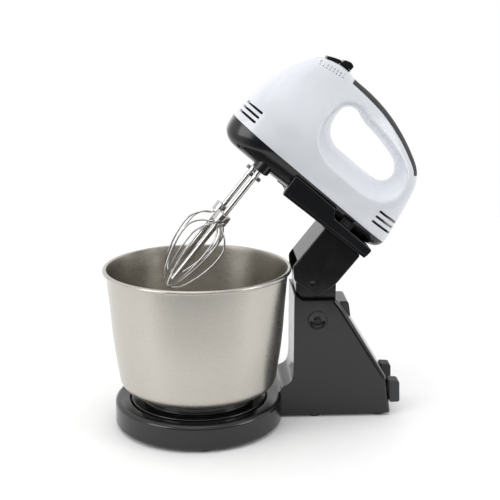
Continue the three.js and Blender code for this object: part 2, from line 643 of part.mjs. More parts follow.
/** Spindle and whisk on one axis: the whisk pulls out along it. */
function buildWhisk(side, sign) {
  const spindle = new THREE.Group();
  spindle.position.set(SPINDLE.x, sign * SPINDLE.y, 0);
  mixer.add(spindle);
  piece(spindle, `spindle_gear_${side}`, spindleGear(), NYLON);
  const whisk = new THREE.Group();
  spindle.add(whisk);
  const wings = [0, Math.PI / 2].map((turn) => box(-6.4, 6.4, -1, 1, 29.6, 33.4).rotateZ(turn));
  const shaft = join(post(0, 0, WHISK.rodEnd, 64, WHISK.rod), ...wings);
  piece(whisk, `whisk_shaft_${side}`, shaft, CHROME);
  const sleeve = turned([
    [WHISK.rod + GAP, -15], [6.9, -15], [6.9, -22.8], [7.2, -22.8], [WHISK.sleeve, -22], [WHISK.sleeve, -14],
    [6.6, -13], [WHISK.rod + GAP, -13],
  ], 14);
  piece(whisk, `whisk_sleeve_${side}`, sleeve, CHROME);
  const loops = [0, 1, 2].map((i) => whiskLoop().rotateZ((i * Math.PI) / 3 + (sign * Math.PI) / 12));
  piece(whisk, `whisk_wires_${side}`, join(...loops, post(0, 0, -22, -16, 5.4, WHISK.rod + GAP, 16)), CHROME);
}

/** One wire loop: out from the sleeve, round the tip and back. */
function whiskLoop() {
  const { swell, tip, wire } = WHISK;
  const half = [[4, -18], [4.7, -25.2], [13.4, -31], [20.4, -40.5], [swell, -51], [20, -66], [15.5, -82], [8.6, -96]];
  const points = [...half.map(([r, z]) => [r, z]), [0, tip + 0.9], ...half.map(([r, z]) => [-r, z]).reverse()];
  const path = new THREE.CatmullRomCurve3(points.map(([x, z]) => new THREE.Vector3(x, 0, z)), false, "centripetal");
  const section = new THREE.Shape().absarc(0, 0, wire, 0, 2 * Math.PI);
  return new THREE.ExtrudeGeometry(section, { steps: 20, bevelEnabled: false, curveSegments: 3, extrudePath: path });
}

// ---------------------------------------------------------------- assembly

buildStand();
buildTurntable();
buildArm();
buildMixerBody();
buildSelector();
buildDrive();

// The origin is under the middle of the whole object, on the surface that it stands on.
root.updateMatrixWorld(true);
const bounds = new THREE.Box3().setFromObject(root, true);
const centre = bounds.getCenter(new THREE.Vector3());
const part = new THREE.Group();
root.position.set(-centre.x, -centre.y, -bounds.min.z);
part.add(root);

export default part;
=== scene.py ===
"""Looks of a two-whisk stand mixer with its head tilted back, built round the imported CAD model."""

import json
import logging
import math
from collections.abc import Sequence
from dataclasses import dataclass, field
from enum import Enum

import bmesh
import bpy
import numpy as np
from mathutils import Matrix, Vector


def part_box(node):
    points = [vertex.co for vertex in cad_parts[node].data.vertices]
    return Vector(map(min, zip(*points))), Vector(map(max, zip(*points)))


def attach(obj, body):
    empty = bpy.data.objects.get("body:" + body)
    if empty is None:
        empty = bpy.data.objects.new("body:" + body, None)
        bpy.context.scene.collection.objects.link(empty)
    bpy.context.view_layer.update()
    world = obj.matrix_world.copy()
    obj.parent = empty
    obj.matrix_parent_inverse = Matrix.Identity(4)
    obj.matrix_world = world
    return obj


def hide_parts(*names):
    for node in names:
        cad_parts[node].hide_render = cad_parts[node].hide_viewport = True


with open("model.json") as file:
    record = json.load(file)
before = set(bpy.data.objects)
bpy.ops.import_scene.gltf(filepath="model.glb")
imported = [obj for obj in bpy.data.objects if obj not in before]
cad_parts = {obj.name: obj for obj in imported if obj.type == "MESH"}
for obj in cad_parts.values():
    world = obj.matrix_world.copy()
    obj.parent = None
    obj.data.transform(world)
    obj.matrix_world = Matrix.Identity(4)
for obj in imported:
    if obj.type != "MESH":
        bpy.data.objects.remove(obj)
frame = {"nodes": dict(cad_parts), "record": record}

log = logging.getLogger("mixer")

MM = 0.001  # the script works in metres, and sizes are written in millimetres times MM
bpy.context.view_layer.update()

Point = tuple[float, float]
Point3 = tuple[float, float, float]
Outline = list[Point]


# ------------------------------------------------------------------ the frame


class Cad:
    """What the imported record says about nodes, bodies and joints."""

    def __init__(self, record: dict) -> None:
        """Keeps the record's behaviour and material slots.

        Args:
            record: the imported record.
        """
        behaviour = record["behaviour"]
        self.joints = {joint["name"]: joint for joint in behaviour["joints"]}
        self.body = {node: body for body, nodes in behaviour["bodies"].items() for node in nodes}
        self.slot = {part["node"]: part["material_slot"] for part in record["subparts"]}

    def pivot(self, joint: str) -> Vector:
        """The point that a hinge turns about."""
        return Vector(self.joints[joint]["pos_m"])

    def head_frame(self) -> Matrix:
        """The tilting head's own frame: origin on the tilt axis, Z along the whisks, Y across."""
        up = Vector(self.joints["mixer_lift"]["axis"]).normalized()
        across = Vector((0, 1, 0))
        rotation = Matrix((across.cross(up), across, up)).transposed()
        return Matrix.Translation(self.pivot("head_tilt")) @ rotation.to_4x4()

    def bowl_frame(self) -> Matrix:
        """The stand's frame, with its origin on the table under the middle of the bowl."""
        spin = self.pivot("turntable_spin")
        return Matrix.Translation((spin.x, spin.y, 0))

    def adopt(self, piece: bpy.types.Object, node: str) -> None:
        """Makes a piece stand for a CAD node and ride on its body.

        Args:
            piece: the finished piece, in place.
            node: the CAD node it replaces.
        """
        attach(piece, self.body[node])
        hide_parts(node)
        log.info("%s stands for %s on body %s", piece.name, node, self.body[node])


# ------------------------------------------------------------------ curves


def arc(x: float, y: float, radius: float, start: float, end: float, steps: int = 8) -> Outline:
    """Points round an arc.

    Args:
        x, y: the centre.
        radius: the arc's radius.
        start, end: angles in degrees.
        steps: how many steps the arc takes.

    Returns:
        The points, both ends included.
    """
    angles = np.radians(np.linspace(start, end, steps + 1))
    return [(x + radius * math.cos(a), y + radius * math.sin(a)) for a in angles]


def spline(points: Sequence[Sequence[float]], closed: bool = False, steps: int = 24) -> np.ndarray:
    """A smooth curve through points: a centripetal Catmull-Rom spline.

    Args:
        points: the points it passes through, in two or three dimensions.
        closed: whether the curve returns to its start.
        steps: samples on each span.

    Returns:
        The samples, spaced evenly along the curve.
    """
    knots = np.array(points, float)
    count = len(knots)
    if closed:
        rows = [knots[(i + k) % count] for i in range(count) for k in (-1, 0, 1, 2)]
    else:
        padded = np.vstack([2 * knots[0] - knots[1], knots, 2 * knots[-1] - knots[-2]])
        rows = [padded[i + k] for i in range(count - 1) for k in range(4)]
    spans = np.array(rows).reshape(-1, 4, knots.shape[1])
    samples = []
    for before, start, end, after in spans:
        gaps = [max(float(np.linalg.norm(b - a)) ** 0.5, 1e-9) for a, b in
                ((before, start), (start, end), (end, after))]
        leave = (start - before) / gaps[0] - (end - before) / (gaps[0] + gaps[1]) + (end - start) / gaps[1]
        arrive = (end - start) / gaps[1] - (after - start) / (gaps[1] + gaps[2]) + (after - end) / gaps[2]
        leave, arrive = leave * gaps[1], arrive * gaps[1]
        t = np.linspace(0, 1, steps, endpoint=False)[:, None]
        samples.append(start + leave * t + (-3 * start + 3 * end - 2 * leave - arrive) * t**2
                       + (2 * start - 2 * end + leave + arrive) * t**3)
    samples.append(knots[:1] if closed else knots[-1:])
    return evenly(np.vstack(samples), len(spans) * steps, closed)


def evenly(line: np.ndarray, count: int, closed: bool) -> np.ndarray:
    """Spaces a polyline's points evenly along it.

    Args:
        line: the points.
        count: how many points to return.
        closed: whether the first point is repeated at the end and so left out.

    Returns:
        The new points.
    """
    length = np.concatenate([[0], np.cumsum(np.linalg.norm(np.diff(line, axis=0), axis=1))])
    places = np.linspace(0, length[-1], count, endpoint=not closed)
    return np.stack([np.interp(places, length, line[:, k]) for k in range(line.shape[1])], axis=1)


def rounded(corners: Sequence[Sequence[float]], steps: int = 8) -> Outline:
    """An outline whose corners are rounded.

    Args:
        corners: (x, y, radius) for each corner, the radius left out where the corner is sharp.
        steps: steps in each rounded corner.

    Returns:
        The outline's points.
    """
    points: Outline = []
    for i, corner in enumerate(corners):
        here = np.array(corner[:2], float)
        radius = corner[2] if len(corner) > 2 else 0
        if radius == 0:
            points.append(tuple(here))
            continue
        ends = []
        for other in (corners[i - 1], corners[(i + 1) % len(corners)]):
            edge = np.array(other[:2], float) - here
            size = float(np.linalg.norm(edge))
            ends.append(here + edge / size * min(radius, 0.45 * size))
        for t in np.linspace(0, 1, steps + 1):
            points.append(tuple((1 - t) ** 2 * ends[0] + 2 * t * (1 - t) * here + t**2 * ends[1]))
    return points


def anticlockwise(line: np.ndarray) -> np.ndarray:
    """The outline, reversed if it runs clockwise."""
    after = np.roll(line, -1, axis=0)
    area = float(np.sum(line[:, 0] * after[:, 1] - after[:, 0] * line[:, 1]))
    return line[::-1] if area < 0 else line


def smoothstep(value: np.ndarray | float, low: float, high: float) -> np.ndarray:
    """0 below low, 1 above high, and a smooth rise between them."""
    t = np.clip((np.asarray(value, float) - low) / (high - low), 0, 1)
    return t * t * (3 - 2 * t)


# ------------------------------------------------------------------ meshes


def mesh_piece(name: str, points: np.ndarray, faces: Sequence[Sequence[int]]) -> bpy.types.Object:
    """An object from points in millimetres and faces.

    Args:
        name: its name.
        points: one row for each vertex, in millimetres.
        faces: vertex numbers, anticlockwise from outside.

    Returns:
        The object, linked to the scene.
    """
    mesh = bpy.data.meshes.new(name)
    mesh.from_pydata((np.asarray(points, float) * MM).tolist(), [], [list(face) for face in faces])
    mesh.validate()
    piece = bpy.data.objects.new(name, mesh)
    bpy.context.scene.collection.objects.link(piece)
    return piece


def rings_to_faces(rings: int, around: int, loop: bool = False) -> list[tuple[int, ...]]:
    """Quads between rings of points.

    Args:
        rings: how many rings there are.
        around: points on each ring.
        loop: whether the last ring joins the first.

    Returns:
        The faces.
    """
    faces = []
    for i in range(rings if loop else rings - 1):
        for j in range(around):
            a, b = i * around + j, i * around + (j + 1) % around
            c, d = ((i + 1) % rings) * around + (j + 1) % around, ((i + 1) % rings) * around + j
            faces.append((a, b, c, d))
    return faces


def turned(name: str, profile: Sequence[Point], steps: int = 96) -> bpy.types.Object:
    """A turned piece standing on Z.

    Args:
        name: its name.
        profile: (radius, height) points round its half section; points on the axis close it.
        steps: steps round the turn.

    Returns:
        The object.
    """
    line = anticlockwise(np.array(profile, float))
    first = int(np.argmin(line[:, 0] + 1e-6 * line[:, 1]))
    line = np.roll(line, -first, axis=0)
    angles = np.linspace(0, 2 * math.pi, steps, endpoint=False)
    points = np.array([(r * math.cos(a), r * math.sin(a), z) for r, z in line for a in angles])
    on_axis = max(line[0, 0], line[-1, 0]) < 1e-9
    return welded(mesh_piece(name, points, rings_to_faces(len(line), steps, loop=not on_axis)))


def inset_outline(outline: np.ndarray, distance: float) -> np.ndarray:
    """Moves an anticlockwise outline inwards, with mitred corners.

    Args:
        outline: the points.
        distance: how far inwards.

    Returns:
        The moved points.
    """
    after = np.roll(outline, -1, axis=0) - outline
    after /= np.linalg.norm(after, axis=1)[:, None]
    before = np.roll(after, 1, axis=0)
    normal = np.stack([-(after + before)[:, 1], (after + before)[:, 0]], axis=1)
    size = np.linalg.norm(normal, axis=1)[:, None]
    return outline + normal / size * distance / np.clip(size / 2, 0.35, 1)


def prism(name: str, outline: Sequence[Point], y0: float, y1: float, bevel: float = 0) -> bpy.types.Object:
    """A plate cut to a side outline and spread across from y0 to y1, its edges rounded.

    Args:
        name: its name.
        outline: points in side view (x, z).
        y0, y1: the near and far faces.
        bevel: radius of the rounded edges.

    Returns:
        The object.
    """
    line = np.array(outline, float)
    apart = np.linalg.norm(line - np.roll(line, 1, axis=0), axis=1) > 1e-6
    line = anticlockwise(line[apart])
    turns = np.radians(np.linspace(0, 90, 5)) if bevel else [math.pi / 2]
    sides = [(bevel * (1 - math.sin(t)), y0 + bevel * (1 - math.cos(t))) for t in turns]
    sides += [(inset, y0 + y1 - y) for inset, y in reversed(sides)]
    rings = []
    for inset, y in sides:
        ring = inset_outline(line, inset) if inset > 1e-9 else line
        rings.append(np.stack([ring[:, 0], np.full(len(ring), y), ring[:, 1]], axis=1))
    count = len(line)
    faces = rings_to_faces(len(rings), count)
    faces.append(tuple(range(count)))
    faces.append(tuple(reversed(range((len(rings) - 1) * count, len(rings) * count))))
    piece = mesh_piece(name, np.vstack(rings), faces)
    return outward(piece)


def slab(name: str, x: Point, y: Point, z: Point, radius: float = 1, bevel: float = 0.3) -> bpy.types.Object:
    """A block with rounded edges.

    Args:
        name: its name.
        x, y, z: its lower and upper limits.
        radius: corner radius in side view.
        bevel: radius of the edges of its near and far faces.

    Returns:
        The object.
    """
    corners = [(x[0], z[0], radius), (x[1], z[0], radius), (x[1], z[1], radius), (x[0], z[1], radius)]
    return prism(name, rounded(corners, 4), y[0], y[1], bevel)


def rod(
    name: str, start: Sequence[float], end: Sequence[float], radius: float, steps: int = 48
) -> bpy.types.Object:
    """A straight round bar between two points.

    Args:
        name: its name.
        start, end: the middles of its ends.
        radius: its radius.
        steps: steps round it.

    Returns:
        The object.
    """
    axis = Vector(end) - Vector(start)
    bar = turned(name, [(0, 0), (radius, 0), (radius, axis.length), (0, axis.length)], steps)
    turn = axis.to_track_quat("Z", "Y").to_matrix().to_4x4()
    bar.data.transform(Matrix.Translation(Vector(start) * MM) @ turn)
    return bar


def wire(name: str, route: np.ndarray, radius: float, sides: int = 12) -> bpy.types.Object:
    """A round wire swept along an open route without twisting.

    Args:
        name: its name.
        route: points along its middle.
        radius: the wire's radius.
        sides: steps round the wire.

    Returns:
        The object.
    """
    along = np.gradient(route, axis=0)
    along /= np.linalg.norm(along, axis=1)[:, None]
    side = np.cross(along[0], (0.3, 0.9, 0.2))
    rings = []
    for point, direction in zip(route, along):
        side = side - direction * float(np.dot(side, direction))
        side /= np.linalg.norm(side)
        other = np.cross(direction, side)
        turns = np.linspace(0, 2 * math.pi, sides, endpoint=False)
        rings.append(point + radius * (np.outer(np.cos(turns), side) + np.outer(np.sin(turns), other)))
    faces = rings_to_faces(len(rings), sides)
    faces.append(tuple(reversed(range(sides))))
    faces.append(tuple(range((len(rings) - 1) * sides, len(rings) * sides)))
    return outward(mesh_piece(name, np.vstack(rings), faces))


def welded(piece: bpy.types.Object, distance: float = 0.002) -> bpy.types.Object:
    """Merges points that coincide and turns every face of a piece outwards.

    Args:
        piece: the piece.
        distance: how far apart merged points may be, in millimetres.

    Returns:
        The same piece.
    """
    shape = bmesh.new()
    shape.from_mesh(piece.data)
    bmesh.ops.remove_doubles(shape, verts=shape.verts, dist=distance * MM)
    bmesh.ops.dissolve_degenerate(shape, edges=shape.edges, dist=distance * MM / 4)
    bmesh.ops.recalc_face_normals(shape, faces=shape.faces)
    shape.to_mesh(piece.data)
    shape.free()
    return piece


def outward(piece: bpy.types.Object) -> bpy.types.Object:
    """Turns every face of a closed piece outwards."""
    return welded(piece, 0.0005)


def settled(piece: bpy.types.Object) -> bpy.types.Object:
    """Works a piece's modifiers into its mesh."""
    shape = piece.evaluated_get(bpy.context.evaluated_depsgraph_get())
    mesh = bpy.data.meshes.new_from_object(shape)
    piece.modifiers.clear()
    spent = piece.data
    piece.data = mesh
    bpy.data.meshes.remove(spent)
    return piece


class Joinery(Enum):
    """How one solid meets another."""

    CUT = "DIFFERENCE"
    JOIN = "UNION"
    KEEP = "INTERSECT"


def fit(piece: bpy.types.Object, how: Joinery, *others: bpy.types.Object) -> bpy.types.Object:
    """Cuts, joins or trims a solid with others, which are used up.

    Args:
        piece: the solid that stays.
        how: what is done to it.
        others: the solids that do it.

    Returns:
        The same piece.
    """
    for other in others:
        modifier = piece.modifiers.new(how.name, "BOOLEAN")
        modifier.operation = how.value
        modifier.solver = "EXACT"
        modifier.object = other
        settled(piece)
        bpy.data.objects.remove(other)
    return piece


def finished(piece: bpy.types.Object, place: Matrix, bevel: float = 0, angle: float = 32) -> bpy.types.Object:
    """Softens a piece's edges, shades it smoothly between its creases and puts it in place.

    Args:
        piece: the piece, at the origin of its own frame.
        place: the frame it belongs in.
        bevel: width of the softened edges in millimetres, 0 for none.
        angle: edges that turn by more degrees than this are creases.

    Returns:
        The same piece.
    """
    if bevel:
        modifier = piece.modifiers.new("edges", "BEVEL")
        modifier.width = bevel * MM
        modifier.segments = 3
        modifier.limit_method = "ANGLE"
        modifier.angle_limit = math.radians(angle)
        settled(piece)
    piece.data.shade_smooth()
    piece.data.set_sharp_from_angle(angle=math.radians(angle))
    flat = piece.modifiers.new("flat", "WEIGHTED_NORMAL")
    flat.keep_sharp = True
    settled(piece)
    piece.data.transform(place.to_3x3().to_4x4())
    piece.matrix_world = Matrix.Translation(place.translation)
    return piece


# ------------------------------------------------------------------ finishes


def linear(colour: str) -> tuple[float, float, float, float]:
    """An sRGB hex colour such as #3A3B3C as linear red, green, blue and alpha."""
    channels = [int(colour[i : i + 2], 16) / 255 for i in (1, 3, 5)]
    red, green, blue = (c / 12.92 if c <= 0.04045 else ((c + 0.055) / 1.055) ** 2.4 for c in channels)
    return (red, green, blue, 1.0)


def add_node(
    tree: bpy.types.NodeTree, kind: str, settings: dict[str | int, object],
    links: dict[str | int, bpy.types.NodeSocket],
) -> bpy.types.Node:
    """Adds a node with its settings and links.

    Args:
        tree: the node tree.
        kind: the node's type name.
        settings: values for its properties, or for its inputs by their names or numbers.
        links: output sockets to join to its inputs, by the inputs' names or numbers.

    Returns:
        The node.
    """
    node = tree.nodes.new(kind)
    for name, value in settings.items():
        if isinstance(name, int) or name in node.inputs:
            node.inputs[name].default_value = value
        else:
            setattr(node, name, value)
    for name, socket in links.items():
        tree.links.new(socket, node.inputs[name])
    return node


@dataclass(frozen=True)
class Finish:
    """What every finish has: a name, a colour and the shine of its surface."""

    name: str
    colour: str
    roughness: float

    def start(self) -> tuple[bpy.types.Material, bpy.types.NodeTree, bpy.types.Node]:
        """An empty material with its shader and output."""
        material = bpy.data.materials.new(self.name)
        material.use_nodes = True
        tree = material.node_tree
        tree.nodes.clear()
        shader = add_node(tree, "ShaderNodeBsdfPrincipled",
                          {"Base Color": linear(self.colour), "Roughness": self.roughness}, {})
        add_node(tree, "ShaderNodeOutputMaterial", {}, {"Surface": shader.outputs["BSDF"]})
        return material, tree, shader

    def place(self, tree: bpy.types.NodeTree) -> bpy.types.NodeSocket:
        """Places on the object itself, in metres."""
        return add_node(tree, "ShaderNodeTexCoord", {}, {}).outputs["Object"]

    def vary_roughness(self, tree: bpy.types.NodeTree, shader: bpy.types.Node,
                       pattern: bpy.types.NodeSocket, swing: float) -> None:
        """Lets a pattern make the surface a little shinier here and duller there.

        Args:
            tree: the material's node tree.
            shader: its shader.
            pattern: a value from 0 to 1.
            swing: how far the roughness moves from the finish's own.
        """
        low, high = max(self.roughness - swing, 0.02), self.roughness + swing
        settings = {"From Min": 0.3, "From Max": 0.7, "To Min": low, "To Max": high}
        spread = add_node(tree, "ShaderNodeMapRange", settings, {"Value": pattern})
        tree.links.new(spread.outputs["Result"], shader.inputs["Roughness"])

    def noise(self, tree: bpy.types.NodeTree, place: bpy.types.NodeSocket, size_mm: float,
              detail: float, **more: float) -> bpy.types.NodeSocket:
        """A cloudy pattern of values round a half.

        Args:
            tree: the material's node tree.
            place: where on the object it is read.
            size_mm: spacing of its clouds in millimetres.
            detail: how many finer layers it has.
            more: other inputs of the pattern.

        Returns:
            The pattern.
        """
        settings = {"Scale": 1 / (size_mm * MM), "Detail": detail, **more}
        return add_node(tree, "ShaderNodeTexNoise", settings, {"Vector": place}).outputs["Fac"]

    def relief(self, tree: bpy.types.NodeTree, pattern: bpy.types.NodeSocket, height_mm: float,
               strength: float, **below: bpy.types.NodeSocket) -> bpy.types.NodeSocket:
        """Lets a pattern raise the surface.

        Args:
            tree: the material's node tree.
            pattern: a value from 0 to 1.
            height_mm: how high it raises the surface.
            strength: how much of that shows.
            below: the relief that this one lies on, as Normal.

        Returns:
            The raised surface's normal.
        """
        settings = {"Strength": strength, "Distance": height_mm * MM}
        return add_node(tree, "ShaderNodeBump", settings, {"Height": pattern, **below}).outputs["Normal"]

    def tint(self, tree: bpy.types.NodeTree, shader: bpy.types.Node, pattern: bpy.types.NodeSocket,
             low: float, high: float, lift: float) -> None:
        """Lets a pattern make the colour a little darker here and lighter there.

        Args:
            tree: the material's node tree.
            shader: its shader.
            pattern: a value from 0 to 1.
            low: share of the colour where the pattern is 0.
            high: share of the colour where it is 1.
            lift: what is added to the lighter colour.
        """
        base = linear(self.colour)[:3]
        darker = (*(channel * low for channel in base), 1.0)
        lighter = (*(min(channel * high + lift, 1.0) for channel in base), 1.0)
        mix = add_node(tree, "ShaderNodeMix", {"data_type": "RGBA", "A": darker, "B": lighter},
                       {"Factor": pattern})
        tree.links.new(mix.outputs["Result"], shader.inputs["Base Color"])


@dataclass(frozen=True)
class MouldedPlastic(Finish):
    """Injection-moulded ABS: a smooth skin with a faint ripple, and dulled in places by handling."""

    ripple_mm: float = 6.0  # width of the slow waves left by the mould's polish
    ripple_height_mm: float = 0.003
    grain_mm: float = 0.0  # spacing of a spark-eroded grain, 0 for a polished mould
    grain_height_mm: float = 0.02
    smear_mm: float = 18.0  # size of the patches that hands have touched
    handling: float = 0.04  # how much duller a touched patch is
    ior: float = 1.53

    def build(self) -> bpy.types.Material:
        """Makes the material."""
        material, tree, shader = self.start()
        shader.inputs["IOR"].default_value = self.ior
        place = self.place(tree)
        normal = self.relief(tree, self.noise(tree, place, self.ripple_mm, 1.0), self.ripple_height_mm, 1.0)
        if self.grain_mm:
            grain = self.noise(tree, place, self.grain_mm, 2.0)
            normal = self.relief(tree, grain, self.grain_height_mm, 1.0, Normal=normal)
        tree.links.new(normal, shader.inputs["Normal"])
        smears = self.noise(tree, place, self.smear_mm, 3.0, Distortion=0.6)
        self.vary_roughness(tree, shader, smears, self.handling)
        self.tint(tree, shader, smears, 1.0, 1.12, 0.002)
        return material


@dataclass(frozen=True)
class SpunSteel(Finish):
    """Stainless steel brushed round an axis: fine rings stretch every reflection along the axis."""

    brush_mm: float = 0.5  # spacing of the brush rings, drawn coarser than real so that they show
    brush_depth_mm: float = 0.0016
    stroke_mm: float = 4.0  # how fast the pattern changes along a ring, per radian
    stretch: float = 0.65
    along: str = "Z"

    def build(self) -> bpy.types.Material:
        """Makes the material."""
        material, tree, shader = self.start()
        shader.inputs["Metallic"].default_value = 1.0
        shader.inputs["Anisotropic"].default_value = self.stretch
        shader.inputs["Anisotropic Rotation"].default_value = 0.25
        place = self.place(tree)
        split = add_node(tree, "ShaderNodeSeparateXYZ", {}, {"Vector": place}).outputs
        angle = add_node(tree, "ShaderNodeMath", {"operation": "ARCTAN2"}, {0: split["Y"], 1: split["X"]})
        flat = add_node(tree, "ShaderNodeCombineXYZ", {}, {"X": split["X"], "Y": split["Y"]})
        reach = add_node(tree, "ShaderNodeVectorMath", {"operation": "LENGTH"}, {0: flat.outputs["Vector"]})
        height = add_node(tree, "ShaderNodeMath", {"operation": "ADD"},
                          {0: split["Z"], 1: reach.outputs["Value"]})
        turn = add_node(tree, "ShaderNodeMath", {"operation": "MULTIPLY", 1: self.stroke_mm * MM},
                        {0: angle.outputs["Value"]})
        rings = add_node(tree, "ShaderNodeCombineXYZ", {},
                         {"X": height.outputs["Value"], "Y": turn.outputs["Value"]}).outputs["Vector"]
        brushed = self.noise(tree, rings, self.brush_mm, 3.0, Roughness=0.6)
        tree.links.new(self.relief(tree, brushed, self.brush_depth_mm, 0.6), shader.inputs["Normal"])
        tangent = add_node(tree, "ShaderNodeTangent", {"direction_type": "RADIAL", "axis": self.along}, {})
        tree.links.new(tangent.outputs["Tangent"], shader.inputs["Tangent"])
        self.vary_roughness(tree, shader, brushed, 0.05)
        self.tint(tree, shader, brushed, 0.86, 1.1, 0.0)
        return material


@dataclass(frozen=True)
class Metal(Finish):
    """Plated, machined or wound metal: mirror-like where it is plated, with a drawn or turned grain."""

    grain_mm: float = 0.8
    grain_depth_mm: float = 0.002
    smear_mm: float = 9.0  # size of the slightly duller patches

    def build(self) -> bpy.types.Material:
        """Makes the material."""
        material, tree, shader = self.start()
        shader.inputs["Metallic"].default_value = 1.0
        place = self.place(tree)
        grain = self.noise(tree, place, self.grain_mm, 2.0)
        tree.links.new(self.relief(tree, grain, self.grain_depth_mm, 0.5), shader.inputs["Normal"])
        self.vary_roughness(tree, shader, self.noise(tree, place, self.smear_mm, 2.0), 0.04)
        return material


class Finishes:
    """All the finishes of the mixer, each made once."""

    def __init__(self) -> None:
        """Makes the materials."""
        # Polished moulds: the black stand mirrors the room softly, with faint hand marks.
        self.gloss_black = MouldedPlastic("abs_gloss_black", "#101113", 0.16).build()
        # A finer satin mould on the mixer's lower shell and selector: reflections blur.
        self.charcoal = MouldedPlastic("abs_satin_charcoal", "#121316", 0.2, grain_mm=0.6,
                                       grain_height_mm=0.004).build()
        # Cool white ABS from a polished mould: bright, glossy, hardly marked.
        self.white = MouldedPlastic("abs_gloss_white", "#DCDFE5", 0.12, handling=0.02,
                                    ripple_height_mm=0.004).build()
        # Soft-touch rubber: no clear reflection, a fine pebble that catches light.
        self.rubber = MouldedPlastic("tpe_rubber_pebbled", "#2B2C2E", 0.55, grain_mm=0.5, grain_height_mm=0.03,
                                     handling=0.08, ior=1.5).build()
        # Spun and brushed stainless steel: bright bands run up the wall.
        self.bowl = SpunSteel("stainless_spun_brushed", "#C2BEB6", 0.3).build()
        # Chrome over drawn wire: almost a mirror.
        self.chrome = Metal("steel_chrome_plated", "#C9C8C6", 0.12, 1.5, 0.001).build()
        # Machined steel: duller, with tool marks.
        self.steel = Metal("steel_machined", "#8E8F91", 0.32, 0.5, 0.004).build()
        # Varnished windings: warm and glossy.
        self.copper = Metal("copper_varnished_winding", "#B36A3C", 0.3, 0.6, 0.01).build()
        # Sintered bronze: matt and porous.
        self.bronze = Metal("bronze_sintered", "#9A7440", 0.45, 0.3, 0.006).build()
        # Natural nylon: waxy, off-white.
        self.nylon = MouldedPlastic("nylon_natural", "#DAD5C6", 0.4, grain_mm=0.4,
                                    grain_height_mm=0.006).build()
        # Pad-printed ink on the white shell: flat grey, thinner than a hair.
        self.ink = MouldedPlastic("ink_pad_printed", "#4A4C52", 0.4, grain_mm=0.3,
                                  grain_height_mm=0.002).build()
        self.by_slot = {
            "gloss_black": self.gloss_black, "satin_charcoal": self.charcoal, "gloss_white": self.white,
            "soft_rubber": self.rubber, "brushed_bowl": self.bowl, "chromed_steel": self.chrome,
            "plain_steel": self.steel, "copper_wire": self.copper, "nylon": self.nylon, "bronze": self.bronze,
        }

    def paint(self, piece: bpy.types.Object, material: bpy.types.Material) -> bpy.types.Object:
        """Gives a whole piece one material.

        Args:
            piece: the piece.
            material: its material.

        Returns:
            The same piece.
        """
        piece.data.materials.clear()
        piece.data.materials.append(material)
        return piece


# ------------------------------------------------------------------ sub-assemblies


@dataclass
class SubAssembly:
    """What every sub-assembly needs: the record's facts and the finishes."""

    cad: Cad
    finishes: Finishes

    def dress(self, piece: bpy.types.Object, place: Matrix, material: bpy.types.Material, node: str,
              bevel: float = 0, angle: float = 32) -> None:
        """Puts a piece in its place, gives it its material and lets it stand for its CAD node.

        Args:
            piece: the piece, at the origin of its own frame.
            place: the frame it belongs in.
            material: its material.
            node: the CAD node it replaces.
            bevel: width of the softened edges in millimetres, 0 for none.
            angle: edges that turn by more degrees than this are creases.
        """
        self.finishes.paint(finished(piece, place, bevel, angle), material)
        self.cad.adopt(piece, node)


# ------------------------------------------------------------------ stand


